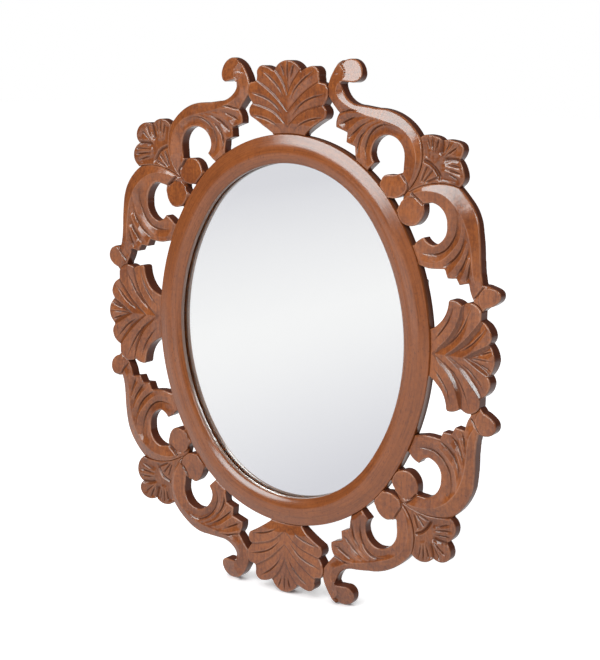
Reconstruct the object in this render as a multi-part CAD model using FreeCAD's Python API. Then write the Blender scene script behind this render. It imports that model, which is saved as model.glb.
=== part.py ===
"""Carved oval wall mirror: a moulded wooden ring holds silvered glass, and a pierced border of
palmettes, leaf scrolls and shells is dowelled and glued round the ring.

Millimetres. +X right, +Z up, the face looks along -Y, and the wall is the plane Y = 0 behind it.
The origin is the centre of the oval on the wall. Heights are measured forward from the back of the wood.
"""
import FreeCAD
import Part
import math
import os

from FreeCAD import Vector

# Oval: outer edge of the ring, drawn with four arcs that meet at the joint angle
OVAL_HALF_WIDTH = 183.5
OVAL_HALF_HEIGHT = 222.5
JOINT_ANGLE = 36.0

# Ring moulding, across from the sight edge outward and up from the back
RING_WIDTH = 32.0
RING_EDGE_HEIGHT = 12.0
RING_CREST_HEIGHT = 20.0
RING_CREST_ACROSS = 12.5
RING_BEVEL_ACROSS = 4.6
RING_BEVEL_HEIGHT = 15.6
SIGHT_LIP = 2.0
REBATE_WIDTH = 7.0

# Glass and backing
GLASS_THICKNESS = 3.0
SILVER_THICKNESS = 0.2
BACKING_THICKNESS = 3.0
BACKING_RECESS = 0.2
EDGE_CLEARANCE = 1.0

# Carved border
BORDER_THICKNESS = 16.0
BEVEL_WIDTH = 4.0
BEVEL_DROP = 3.0
DISC_HEIGHT = 13.0
DISC_RADIUS = 15.0
CURL_RADIUS = 13.0
LOBE_GROOVE_WIDTH = 5.0
LOBE_GROOVE_DEPTH = 3.5
VEIN_WIDTH = 3.0
VEIN_DEPTH = 1.6

# Wooden dowels and tongues
DOWEL_RADIUS = 3.0
DOWEL_LENGTH = 24.0
PIN_RADIUS = 2.0
PIN_LENGTH = 16.0
DOWEL_HEIGHT = 6.0
GLUE_GAP = 0.1
HOLE_EXTRA = 0.5
PALMETTE_DOWEL_SPACING = 22.0
TONGUE_THICKNESS = 4.0
TONGUE_WIDTH = 14.0
TONGUE_LENGTH = 14.0
TONGUE_HEIGHT = 7.0
TONGUE_INSET = 12.5

# Wall pads
PAD_RADIUS = 7.0
PAD_THICKNESS = 5.0
PAD_ANGLE = 55.0

# Turn buttons
BUTTON_THICKNESS = 1.2
BUTTON_WIDTH = 9.0
BUTTON_REACH = 15.0
BUTTON_LIFT = 0.2
BUTTON_INSET = 6.0
BUTTON_JOINT_DROP = 42.6
PIVOT_RADIUS = 2.0
PIVOT_CLEARANCE = 0.05

# Screws
SCREW_RADIUS = 1.75
SCREW_LENGTH = 11.0
SCREW_HEAD_RADIUS = 3.4
SCREW_CROWN_RADIUS = 2.2
SCREW_TIP_RADIUS = 0.4
SCREW_HEAD_THICKNESS = 1.5
SCREW_SLOT = 0.8
SCREW_POINT = 3.0
PILOT_CLEARANCE = 0.05

# Hangers: a strap with a rolled eye, and a D ring that swings in it
STRAP_WIDTH = 10.0
STRAP_LENGTH = 32.0
STRAP_THICKNESS = 0.9
STRAP_SCREW_DROP = 6.5
STRAP_SCREW_PITCH = 19.5
STRAP_HOLE_CLEARANCE = 0.25
HANGER_HEIGHT = 75.0
WIRE_RADIUS = 1.25
EYE_CLEARANCE = 0.05
D_SIDE_CLEARANCE = 0.4
D_CORNER_RADIUS = 1.6
D_LEG = 13.0
D_REST_TILT = 2.0

BACK = -PAD_THICKNESS
REBATE_DEPTH = GLASS_THICKNESS + SILVER_THICKNESS + BACKING_THICKNESS + BACKING_RECESS
UP = Vector(0, 0, 1)
RIGHT = Vector(1, 0, 0)
TO_WALL = Vector(0, 1, 0)
CENTRE = Vector(0, 0, 0)


def oval_centres():
    """Centre heights of the top arc and the side arc: (above the middle, left of the middle)."""
    rise = math.tan(math.radians(JOINT_ANGLE))
    left = (OVAL_HALF_HEIGHT - OVAL_HALF_WIDTH) / (1 + rise - math.hypot(1, rise))
    return rise * left, left


TOP_CENTRE, SIDE_CENTRE = oval_centres()
TOP_RADIUS = OVAL_HALF_HEIGHT - TOP_CENTRE
SIDE_RADIUS = OVAL_HALF_WIDTH + SIDE_CENTRE


def on_top_arc(angle, inward=0.0):
    """Point on the top arc at an angle from the horizontal, moved in from the outer edge."""
    reach = TOP_RADIUS - inward
    turn = math.radians(angle)
    return Vector(reach * math.cos(turn), 0, TOP_CENTRE + reach * math.sin(turn))


def on_side_arc(angle, inward=0.0):
    """Point on the right side arc at an angle from the horizontal, moved in from the outer edge."""
    reach = SIDE_RADIUS - inward
    turn = math.radians(angle)
    return Vector(reach * math.cos(turn) - SIDE_CENTRE, 0, reach * math.sin(turn))


JOINT = on_top_arc(JOINT_ANGLE)

# The border is drawn for one oval: its joint and its edge from the middle, across and upward
DRAWN_ACROSS = (133.27, 183.5)
DRAWN_UPWARD = (154.6, 222.5)


def stretched(place, drawn, joint, edge):
    """Move a place of the drawing with the joint and the edge of the real oval."""
    far = abs(place)
    drawn_joint, drawn_edge = drawn
    if far < drawn_joint:
        reach = far * joint / drawn_joint
    elif far < drawn_edge:
        reach = joint + (far - drawn_joint) * (edge - joint) / (drawn_edge - drawn_joint)
    else:
        reach = edge + (far - drawn_edge) * edge / drawn_edge
    return math.copysign(reach, place)


def drawing(x, z):
    """Point of the border drawing, measured from the middle of the oval."""
    return Vector(stretched(x, DRAWN_ACROSS, JOINT.x, OVAL_HALF_WIDTH), 0,
                  stretched(z, DRAWN_UPWARD, JOINT.z, OVAL_HALF_HEIGHT))


def top(x, z):
    """Point of the border drawing, measured from the top of the ring."""
    return drawing(x, DRAWN_UPWARD[1] + z)


def side(x, z):
    """Point of the border drawing, measured from the right side of the ring."""
    return drawing(DRAWN_ACROSS[1] + x, z)


def corner(x, z):
    """Point of the border drawing, measured from the upper right joint of the ring."""
    return drawing(DRAWN_ACROSS[0] + x, DRAWN_UPWARD[0] + z)


CREST_CURL = top(79.0, 68.5)
CREST_DISC = corner(1.4, 20.9)
SIDE_CURL = side(68.8, 67.0)
SIDE_DISC = corner(23.9, -6.8)


def outline(start, moves):
    """Flat face in the plane Y = 0. A move is a point for a straight edge, or (through, end) for an arc."""
    edges = []
    here = start
    for move in moves:
        if isinstance(move, tuple):
            through, end = move
            edges.append(Part.Arc(here, through, end).toShape())
        else:
            end = move
            edges.append(Part.LineSegment(here, end).toShape())
        here = end
    if here.distanceToPoint(start) > 1e-6:
        edges.append(Part.LineSegment(here, start).toShape())
    return Part.Face(Part.Wire(edges))


def there_and_back(start, moves, flip):
    """The moves up to the middle line of an ornament, then their mirror image back down."""
    ends = [start] + [move[1] if isinstance(move, tuple) else move for move in moves]
    back = []
    for move, end in zip(reversed(moves), reversed(ends[:-1])):
        back.append((flip(move[0]), flip(end)) if isinstance(move, tuple) else flip(end))
    return moves + back


def slab(face, low, high):
    """Solid between two heights above the back of the wood."""
    placed = face.translated(Vector(0, BACK - low, 0))
    return placed.extrude(Vector(0, low - high, 0))


def oval_face(inward):
    """Oval parallel to the outer edge of the ring."""
    def point(angle, find):
        return find(angle, inward)

    def left(p):
        return Vector(-p.x, 0, p.z)

    def down(p):
        return Vector(p.x, 0, -p.z)

    joint = point(JOINT_ANGLE, on_top_arc)
    crown = point(90.0, on_top_arc)
    flank = point(0.0, on_side_arc)
    return outline(joint, [
        (crown, left(joint)),
        (left(flank), left(down(joint))),
        (down(crown), down(joint)),
        (flank, joint),
    ])


def only_solid(shape):
    """The single solid that a cut or a join must leave."""
    if len(shape.Solids) != 1:
        raise ValueError("expected one solid, found %d" % len(shape.Solids))
    return shape.Solids[0]


def flipped_x(shape):
    return shape.mirror(CENTRE, RIGHT)


def flipped_z(shape):
    return shape.mirror(CENTRE, UP)


def four_ways(name, shape):
    """The upper right piece and its three mirror images, by name."""
    return {
        name + "_top_right": shape,
        name + "_top_left": flipped_x(shape),
        name + "_bottom_right": flipped_z(shape),
        name + "_bottom_left": flipped_z(flipped_x(shape)),
    }


def rod(start, along, length, radius):
    return Part.makeCylinder(radius, length, start, along)


# Ring

def ring_section(reach):
    """Moulding section in the plane X, Y, with the outer edge at X = reach."""
    def at(across, height):
        return Vector(reach - RING_WIDTH + across, BACK - height, 0)

    shoulder = at((RING_WIDTH + RING_CREST_ACROSS) / 2 + 2.0, RING_CREST_HEIGHT - 2.0)
    brow = at((RING_CREST_ACROSS + RING_BEVEL_ACROSS) / 2 - 1.0,
              (RING_CREST_HEIGHT + RING_BEVEL_HEIGHT) / 2 + 1.0)
    crest = at(RING_CREST_ACROSS, RING_CREST_HEIGHT)
    bevel = at(RING_BEVEL_ACROSS, RING_BEVEL_HEIGHT)
    edges = [
        Part.LineSegment(at(REBATE_WIDTH, 0), at(RING_WIDTH, 0)).toShape(),
        Part.LineSegment(at(RING_WIDTH, 0), at(RING_WIDTH, RING_EDGE_HEIGHT)).toShape(),
        Part.Arc(at(RING_WIDTH, RING_EDGE_HEIGHT), shoulder, crest).toShape(),
        Part.Arc(crest, brow, bevel).toShape(),
        Part.LineSegment(bevel, at(0, REBATE_DEPTH + SIGHT_LIP)).toShape(),
        Part.LineSegment(at(0, REBATE_DEPTH + SIGHT_LIP), at(0, REBATE_DEPTH)).toShape(),
        Part.LineSegment(at(0, REBATE_DEPTH), at(REBATE_WIDTH, REBATE_DEPTH)).toShape(),
        Part.LineSegment(at(REBATE_WIDTH, REBATE_DEPTH), at(REBATE_WIDTH, 0)).toShape(),
    ]
    return Part.Face(Part.Wire(edges))


def ring_stave(centre, reach, first, last):
    """One arc of the ring, turned from the first angle to the last about its own centre."""
    section = ring_section(reach)
    stave = section.revolve(CENTRE, Vector(0, -1, 0), last - first)
    stave.rotate(CENTRE, Vector(0, -1, 0), first)
    stave.translate(centre)
    return stave.Solids[0]


def ring_staves():
    upper = ring_stave(Vector(0, 0, TOP_CENTRE), TOP_RADIUS, JOINT_ANGLE, 180.0 - JOINT_ANGLE)
    right = ring_stave(Vector(-SIDE_CENTRE, 0, 0), SIDE_RADIUS, -JOINT_ANGLE, JOINT_ANGLE)
    return {
        "ring_top": upper,
        "ring_bottom": flipped_z(upper),
        "ring_right": right,
        "ring_left": flipped_x(right),
    }


# Carved border, drawn for the upper right quarter

def palmette_top_face():
    """Seven lobes above the ring; the foot runs into the ring and is trimmed to it."""
    start = top(20.0, -9.5)
    half = [
        top(22.0, 0.3),
        (top(35.0, 9.7), top(49.2, 18.0)),
        (top(51.4, 26.5), top(47.2, 32.0)),
        top(51.2, 38.0),
        (top(53.2, 47.5), top(49.8, 55.5)),
        top(42.2, 56.8),
        top(41.2, 63.5),
        (top(39.6, 71.0), top(33.7, 74.2)),
        (top(26.5, 72.8), top(18.5, 68.5)),
        (top(10.9, 76.9), top(0.0, 80.0)),
    ]
    return outline(start, there_and_back(start, half, lambda p: Vector(-p.x, 0, p.z)))


def palmette_side_face():
    """Seven lobes beside the ring, broader than those at the top."""
    start = side(-8.5, 20.0)
    half = [
        side(-0.5, 25.6),
        (side(14.0, 36.0), side(22.0, 57.0)),
        side(23.5, 59.3),
        (side(31.5, 58.9), side(38.5, 55.2)),
        (side(43.0, 57.8), side(48.0, 58.8)),
        (side(56.8, 56.0), side(62.0, 50.0)),
        side(61.9, 41.0),
        (side(70.1, 34.4), side(73.4, 26.0)),
        (side(72.7, 21.0), side(70.1, 17.0)),
        (side(75.7, 8.8), side(77.8, 0.0)),
    ]
    return outline(start, there_and_back(start, half, lambda p: Vector(p.x, 0, -p.z)))


def crest_scroll_face():
    """S scroll from the curl beside the top palmette, over a leaf, down to a disc on the ring."""
    return outline(top(51.5, 44.5), [
        (top(52.6, 56.5), top(58.0, 68.5)),
        (top(65.3, 77.5), top(76.0, 82.0)),
        (top(88.0, 78.5), top(92.6, 68.5)),
        (top(90.6, 61.5), top(84.0, 57.5)),
        top(71.0, 58.5),
        top(69.3, 55.5),
        (top(76.3, 41.5), top(94.0, 34.0)),
        corner(-21.3, 99.3),
        (corner(11.7, 90.9), corner(32.7, 71.4)),
        (corner(36.0, 51.4), corner(30.7, 30.4)),
        (corner(22.7, 18.4), corner(13.7, 9.9)),
        (corner(6.7, 6.3), corner(-1.8, 6.3)),
        corner(-11.3, 0.4),
        corner(-21.3, 13.4),
        corner(-13.3, 23.9),
        (corner(-7.0, 33.4), corner(1.7, 35.9)),
        corner(13.5, 34.7),
        corner(14.5, 48.4),
        (corner(8.7, 65.4), corner(-5.8, 71.7)),
        (corner(-20.8, 65.4), corner(-26.1, 52.4)),
        (corner(-24.9, 46.9), corner(-21.7, 42.2)),
        corner(-30.7, 33.8),
        corner(-36.3, 25.4),
        corner(-52.3, 35.4),
        corner(-45.7, 43.9),
        top(86.1, -10.0),
        top(75.5, -5.8),
        top(76.5, 4.7),
        top(62.5, 9.7),
        (top(63.0, 18.5), top(66.8, 25.1)),
        (top(58.5, 35.0), top(51.5, 44.5)),
    ])


def side_scroll_face():
    """S scroll from the disc on the ring, over a leaf, down to the curl beside the side palmette."""
    return outline(corner(13.7, 14.4), [
        corner(21.7, 13.9),
        (corner(49.7, 23.7), corner(80.2, 22.4)),
        (corner(97.7, 3.4), corner(105.4, -14.6)),
        (side(57.1, 122.0), side(57.5, 104.0)),
        side(58.5, 90.0),
        side(61.2, 78.6),
        (side(72.0, 79.3), side(78.5, 75.0)),
        (side(81.1, 67.5), side(77.0, 60.0)),
        (side(72.0, 56.5), side(66.0, 54.4)),
        side(59.5, 48.0),
        side(51.5, 53.0),
        side(50.5, 61.0),
        (side(46.5, 68.5), side(44.1, 78.0)),
        side(33.0, 75.9),
        side(28.7, 83.7),
        side(18.6, 83.0),
        side(14.9, 91.6),
        (side(5.5, 90.0), side(-4.5, 89.8)),
        side(-15.6, 92.0),
        side(-26.5, 95.0),
        side(-32.5, 110.0),
        side(-22.1, 112.9),
        (side(-17.5, 117.8), side(-9.9, 122.0)),
        (side(-4.9, 116.8), side(1.5, 114.3)),
        (corner(63.2, -33.1), corner(67.3, -17.6)),
        (corner(62.7, -3.6), corner(49.7, 3.9)),
        corner(38.7, 2.4),
        (corner(39.3, -7.6), corner(30.2, -20.8)),
        (corner(23.7, -22.1), corner(16.7, -20.3)),
        corner(7.7, -27.6),
        corner(0.7, -12.6),
        corner(10.2, -0.1),
    ])


def shell_face():
    """Three lobed fan in the corner; its inner edges lie under the scrolls and are trimmed to them."""
    return outline(corner(26.7, 66.4), [
        corner(33.7, 72.4),
        (corner(47.2, 77.7), corner(60.5, 70.9)),
        (corner(69.7, 73.7), corner(78.2, 71.4)),
        (corner(84.7, 62.9), corner(80.7, 49.9)),
        (corner(89.0, 38.4), corner(82.2, 23.4)),
        corner(72.7, 13.4),
        corner(18.7, 3.4),
        corner(16.7, 21.4),
    ])


def swept(edge, section):
    """Solid along a straight or arc edge; the section is (left of travel, height) points."""
    first, last = edge.ParameterRange
    start = edge.valueAt(first)
    travel = edge.tangentAt(first)
    left = TO_WALL.cross(travel)
    corners = []
    for across, height in section:
        spot = start + left * across
        corners.append(Vector(spot.x, BACK - height, spot.z))
    face = Part.Face(Part.makePolygon(corners + corners[:1]))
    if isinstance(edge.Curve, Part.Line):
        return face.extrude(edge.valueAt(last) - start)
    return face.revolve(edge.Curve.Center, edge.Curve.Axis, math.degrees(last - first))


def bevelled(solid, width, drop):
    """Slope the front face down to each of its edges, wide enough to leave a ridge along the stems."""
    height = BORDER_THICKNESS
    front = [f for f in solid.Faces if abs(f.CenterOfMass.y - BACK + height) < 1e-6][0]
    slope = drop / width
    cutters = []
    for edge in front.Edges:
        first, last = edge.ParameterRange
        middle = edge.valueAt((first + last) / 2)
        left = TO_WALL.cross(edge.tangentAt((first + last) / 2))
        inside = 1.0 if front.isInside(middle + left * 0.05, 1e-3, True) else -1.0
        cutters.append(swept(edge, [
            (-inside, height - drop - slope),
            (inside * (width + 1.0), height + slope),
            (-inside, height + slope),
        ]))
    return solid.cut(cutters)


def grooved(solid, strokes):
    """Cut V grooves; a stroke is (start, through, end, half width, depth) on the front face."""
    cutters = []
    for start, through, end, half_width, depth in strokes:
        edge = (Part.Arc(start, through, end) if through else Part.LineSegment(start, end)).toShape()
        spread = half_width * (1 + 1.0 / depth)
        cutters.append(swept(edge, [
            (0.0, BORDER_THICKNESS - depth),
            (spread, BORDER_THICKNESS + 1.0),
            (-spread, BORDER_THICKNESS + 1.0),
        ]))
    return solid.cut(cutters)


def lowered(solid, discs):
    """Sink flat round faces; a disc is (centre, radius)."""
    top_of_disc = BACK - DISC_HEIGHT
    cutters = [rod(Vector(p.x, top_of_disc, p.z), Vector(0, -1, 0), BORDER_THICKNESS, r) for p, r in discs]
    return solid.cut(cutters)


def to_left(p):
    return Vector(-p.x, 0, p.z)


def downward(p):
    return Vector(p.x, 0, -p.z)


def both_sides(strokes, flip):
    """Strokes of one half of an ornament with their mirror images."""
    return strokes + [(flip(a), flip(b) if b else None, flip(c), w, d) for a, b, c, w, d in strokes]


def lobe_line(start, through, end):
    """Deep groove that parts two lobes."""
    return start, through, end, LOBE_GROOVE_WIDTH / 2, LOBE_GROOVE_DEPTH


def vein(start, through, end):
    """Shallow groove inside a lobe; straight when nothing is given to pass through."""
    return start, through, end, VEIN_WIDTH / 2, VEIN_DEPTH


def palmette_top_strokes():
    half = [
        lobe_line(top(19.2, 70.5), top(9.5, 55.0), top(3.4, 40.0)),
        lobe_line(top(42.0, 56.6), top(22.0, 44.0), top(1.5, 19.5)),
        lobe_line(top(47.0, 32.5), top(21.0, 23.5), top(1.0, 6.5)),
        vein(top(36.0, 69.5), top(18.5, 54.5), top(4.0, 35.5)),
        vein(top(48.0, 43.5), top(26.0, 35.5), top(5.0, 17.5)),
        vein(top(45.0, 19.5), top(27.0, 14.3), top(8.0, 4.5)),
        vein(top(7.0, 74.0), None, top(3.5, 60.5)),
    ]
    return both_sides(half, to_left) + [vein(top(0.0, 76.0), None, top(0.0, 47.5))]


def palmette_side_strokes():
    half = [
        lobe_line(side(38.5, 54.0), side(25.5, 23.0), side(3.0, 1.5)),
        lobe_line(side(60.5, 40.5), side(41.0, 18.0), side(20.5, 1.5)),
        lobe_line(side(69.5, 17.0), side(52.0, 8.2), side(36.5, 2.0)),
        vein(side(28.5, 51.0), side(19.0, 29.0), side(4.5, 12.0)),
        vein(side(51.5, 47.0), side(39.0, 24.0), side(23.5, 6.0)),
        vein(side(64.5, 28.0), side(55.5, 16.0), side(42.5, 6.0)),
        vein(side(73.0, 7.0), None, side(58.0, 3.5)),
    ]
    return both_sides(half, downward) + [vein(side(74.5, 0.0), None, side(48.0, 0.0))]


def crest_scroll_strokes():
    return [
        lobe_line(corner(-36.3, 47.4), corner(-36.7, 61.4), corner(-28.3, 75.4)),
        lobe_line(corner(-28.3, 75.4), corner(-17.3, 80.0), corner(-3.3, 80.9)),
        lobe_line(corner(-46.8, 56.4), corner(-39.3, 69.9), corner(-23.3, 84.4)),
        lobe_line(top(77.0, 4.0), top(87.5, 10.8), top(98.0, 16.8)),
        vein(top(81.0, -0.5), top(87.0, 6.7), top(94.0, 13.5)),
        vein(top(69.0, 13.5), top(76.0, 17.7), top(83.0, 21.0)),
    ]


def side_scroll_strokes():
    return [
        lobe_line(side(-10.5, 104.5), side(1.0, 104.8), side(12.5, 109.5)),
        lobe_line(side(12.5, 109.5), side(20.5, 120.0), side(23.5, 134.0)),
        lobe_line(side(15.0, 92.2), side(27.5, 106.0), side(35.5, 128.0)),
        lobe_line(side(28.7, 84.2), side(33.5, 95.5), side(38.5, 111.0)),
        lobe_line(side(44.1, 79.0), side(45.2, 90.0), side(44.5, 100.0)),
        vein(side(21.5, 90.0), side(28.5, 100.0), side(34.5, 114.0)),
        vein(side(34.5, 82.0), side(38.2, 92.0), side(40.5, 102.0)),
    ]


def shell_strokes():
    return [
        lobe_line(corner(41.7, 47.4), corner(50.7, 40.4), corner(57.2, 29.4)),
        lobe_line(corner(60.5, 70.4), None, corner(56.7, 54.4)),
        lobe_line(corner(80.2, 49.9), None, corner(58.7, 46.4)),
        vein(corner(40.7, 73.4), None, corner(45.2, 51.4)),
        vein(corner(46.2, 75.4), None, corner(48.2, 52.4)),
        vein(corner(51.2, 75.4), None, corner(51.2, 52.4)),
        vein(corner(56.2, 73.4), None, corner(54.2, 52.4)),
        vein(corner(70.7, 70.4), None, corner(58.7, 50.4)),
        vein(corner(80.7, 62.4), None, corner(60.7, 48.9)),
        vein(corner(83.7, 42.4), None, corner(60.7, 43.4)),
        vein(corner(85.7, 35.4), None, corner(60.7, 39.4)),
        vein(corner(82.7, 28.4), None, corner(59.7, 34.4)),
    ]


def border_blanks():
    """Upper right pieces of the border, each trimmed to the ring and to the pieces already placed."""
    placed = [slab(oval_face(0.0), 0.0, BORDER_THICKNESS)]
    blanks = {}
    for name, face in [
        ("palmette_top", palmette_top_face()),
        ("palmette_right", palmette_side_face()),
        ("crest_scroll", crest_scroll_face()),
        ("side_scroll", side_scroll_face()),
        ("shell", shell_face()),
    ]:
        blanks[name] = only_solid(slab(face, 0.0, BORDER_THICKNESS).cut(placed))
        placed.append(blanks[name])
    return blanks


def border_pieces():
    """Upper right pieces of the border, carved and bored for their dowels."""
    carving = {
        "palmette_top": (palmette_top_strokes(), []),
        "palmette_right": (palmette_side_strokes(), []),
        "crest_scroll": (crest_scroll_strokes(), [(CREST_CURL, CURL_RADIUS), (CREST_DISC, DISC_RADIUS)]),
        "side_scroll": (side_scroll_strokes(), [(SIDE_CURL, CURL_RADIUS), (SIDE_DISC, DISC_RADIUS)]),
        "shell": (shell_strokes(), []),
    }
    holes = [hole for _, hole in border_dowels() + shell_pins()]
    pieces = {}
    for name, blank in border_blanks().items():
        strokes, discs = carving[name]
        piece = grooved(bevelled(blank, BEVEL_WIDTH, BEVEL_DROP), strokes)
        if discs:
            piece = lowered(piece, discs)
        pieces[name] = only_solid(piece.cut(holes))
    return pieces


# Dowels, pins and tongues; each comes with the hole that it is glued into

def peg(middle, along, radius, length):
    """A dowel and its slightly larger hole, centred on a point of the drawing at dowel height."""
    along = Vector(along).normalize()
    centre = Vector(middle.x, BACK - DOWEL_HEIGHT, middle.z)
    dowel = rod(centre - along * (length / 2), along, length, radius)
    half = length / 2 + HOLE_EXTRA
    return dowel, rod(centre - along * half, along, 2 * half, radius + GLUE_GAP)


def radial_peg(centre, reach, target):
    """Dowel across the outer edge of the ring, aimed from the centre of its arc at a border piece."""
    along = (target - centre).normalize()
    return peg(centre + along * reach, along, DOWEL_RADIUS, DOWEL_LENGTH)


def border_dowels():
    """Dowels of the upper right quarter: two per scroll and one of each pair of the palmettes."""
    half = PALMETTE_DOWEL_SPACING / 2
    above = Vector(0, 0, TOP_CENTRE)
    beside = Vector(-SIDE_CENTRE, 0, 0)
    top_edge = TOP_CENTRE + math.sqrt(TOP_RADIUS ** 2 - half ** 2)
    side_edge = math.sqrt(SIDE_RADIUS ** 2 - half ** 2) - SIDE_CENTRE
    return [
        peg(Vector(half, 0, top_edge), UP, DOWEL_RADIUS, DOWEL_LENGTH),
        peg(Vector(-half, 0, top_edge), UP, DOWEL_RADIUS, DOWEL_LENGTH),
        peg(Vector(side_edge, 0, half), RIGHT, DOWEL_RADIUS, DOWEL_LENGTH),
        peg(Vector(side_edge, 0, -half), RIGHT, DOWEL_RADIUS, DOWEL_LENGTH),
        radial_peg(above, TOP_RADIUS, CREST_DISC),
        radial_peg(above, TOP_RADIUS, corner(-33.0, 48.4)),
        radial_peg(beside, SIDE_RADIUS, SIDE_DISC),
        radial_peg(beside, SIDE_RADIUS, side(-3.5, 106.0)),
    ]


def shell_pins():
    """Thin dowels from the shell into the stem of each scroll."""
    return [
        peg(corner(36.0, 51.4), RIGHT, PIN_RADIUS, PIN_LENGTH),
        peg(corner(59.0, 24.1), UP, PIN_RADIUS, PIN_LENGTH),
    ]


def tongue(extra):
    """Loose tongue across the upper right joint of the ring, grown by a gap on every side."""
    width = TONGUE_WIDTH + 2 * extra
    thickness = TONGUE_THICKNESS + 2 * extra
    length = TONGUE_LENGTH + 2 * extra
    box = Part.makeBox(width, thickness, length, Vector(-width / 2, -thickness / 2, -length / 2))
    box.rotate(CENTRE, Vector(0, -1, 0), JOINT_ANGLE)
    middle = on_top_arc(JOINT_ANGLE, TONGUE_INSET)
    return box.translated(Vector(middle.x, BACK - TONGUE_HEIGHT, middle.z))


def quarters(shapes):
    """Shapes of the upper right quarter and their mirror images in the other three."""
    return [turn for shape in shapes
            for turn in (shape, flipped_x(shape), flipped_z(shape), flipped_z(flipped_x(shape)))]


# Screws

def screw(spot, shoulder_radius, under_head):
    """Slotted screw into the back of the wood, pointing forward; the shank is shouldered under the head."""
    forward = Vector(0, -1, 0)
    brim = SCREW_HEAD_THICKNESS / 3
    shank = rod(CENTRE, forward, SCREW_LENGTH - SCREW_POINT, SCREW_RADIUS)
    point = Part.makeCone(SCREW_RADIUS, SCREW_TIP_RADIUS, SCREW_POINT,
                          forward * (SCREW_LENGTH - SCREW_POINT), forward)
    shoulder = rod(CENTRE, TO_WALL, under_head, shoulder_radius)
    head = rod(TO_WALL * under_head, TO_WALL, brim, SCREW_HEAD_RADIUS)
    crown = Part.makeCone(SCREW_HEAD_RADIUS, SCREW_CROWN_RADIUS, SCREW_HEAD_THICKNESS - brim,
                          TO_WALL * (under_head + brim), TO_WALL)
    body = shank.fuse([point, shoulder, head, crown])
    floor = under_head + SCREW_HEAD_THICKNESS - SCREW_SLOT
    slot = Part.makeBox(SCREW_HEAD_RADIUS * 3, SCREW_SLOT * 2, SCREW_SLOT,
                        Vector(-SCREW_HEAD_RADIUS * 1.5, floor, -SCREW_SLOT / 2))
    return only_solid(body.cut(slot)).translated(Vector(spot.x, BACK, spot.z))


def pilot(spot):
    """Hole in the wood for a screw."""
    return rod(Vector(spot.x, BACK + 1.0, spot.z), Vector(0, -1, 0), SCREW_LENGTH + 1.5,
               SCREW_RADIUS + PILOT_CLEARANCE)


# Turn buttons

def button_spots():
    """Pivots of the buttons and the angle that each one points at, inward over the backing board."""
    inward = RING_WIDTH - REBATE_WIDTH - BUTTON_INSET
    crown = on_top_arc(90.0, inward)
    lean = math.degrees(math.asin((JOINT.z - BUTTON_JOINT_DROP) / (SIDE_RADIUS - inward)))
    flank = on_side_arc(lean, inward)
    return {
        "turn_button_top": (crown, 270.0),
        "turn_button_bottom": (downward(crown), 90.0),
        "turn_button_top_right": (flank, 180.0 + lean),
        "turn_button_top_left": (to_left(flank), -lean),
        "turn_button_bottom_right": (downward(flank), 180.0 - lean),
        "turn_button_bottom_left": (to_left(downward(flank)), lean),
    }


def turn_button(spot, angle):
    """Flat blade with round ends that turns on its screw."""
    half = BUTTON_WIDTH / 2
    far = BUTTON_REACH - half
    face = outline(Vector(0, 0, half), [
        (Vector(-half, 0, 0), Vector(0, 0, -half)),
        Vector(far, 0, -half),
        (Vector(BUTTON_REACH, 0, 0), Vector(far, 0, half)),
    ])
    blade = face.extrude(Vector(0, BUTTON_THICKNESS, 0))
    bore = rod(Vector(0, -1, 0), TO_WALL, BUTTON_THICKNESS + 2, PIVOT_RADIUS + PIVOT_CLEARANCE)
    blade = blade.cut(bore)
    blade.rotate(CENTRE, Vector(0, -1, 0), angle)
    return blade.translated(Vector(spot.x, BACK + BUTTON_LIFT, spot.z)).Solids[0]


# Hangers

def hanger_place():
    """Middle of the right hanger across the ring, and the height of its eye."""
    middle = HANGER_HEIGHT - STRAP_LENGTH / 2
    reach = SIDE_RADIUS - (RING_WIDTH - REBATE_WIDTH) / 2
    return Vector(math.sqrt(reach ** 2 - middle ** 2) - SIDE_CENTRE, 0, HANGER_HEIGHT)


def strap_screw_spots():
    place = hanger_place()
    first = place - UP * STRAP_SCREW_DROP
    return [first, first - UP * STRAP_SCREW_PITCH]


EYE_RADIUS = WIRE_RADIUS + EYE_CLEARANCE
EYE_HEIGHT = STRAP_THICKNESS + EYE_RADIUS


def hanger_strap():
    """Flat strap screwed to the back of the ring, its upper end rolled into an eye."""
    place = hanger_place()
    half = STRAP_WIDTH / 2
    face = outline(Vector(-half, 0, 0), [
        Vector(-half, 0, half - STRAP_LENGTH),
        (Vector(0, 0, -STRAP_LENGTH), Vector(half, 0, half - STRAP_LENGTH)),
        Vector(half, 0, 0),
    ])
    plate = face.extrude(Vector(0, STRAP_THICKNESS, 0))
    eye_start = Vector(-half, EYE_HEIGHT, 0)
    eye = rod(eye_start, RIGHT, STRAP_WIDTH, EYE_HEIGHT).cut(rod(eye_start, RIGHT, STRAP_WIDTH, EYE_RADIUS))
    strap = plate.fuse(eye).translated(Vector(place.x, BACK, place.z))
    for spot in strap_screw_spots():
        strap = strap.cut(rod(Vector(spot.x, BACK - 1, spot.z), TO_WALL, STRAP_THICKNESS + 2,
                              SCREW_RADIUS + STRAP_HOLE_CLEARANCE))
    return only_solid(strap)


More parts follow.
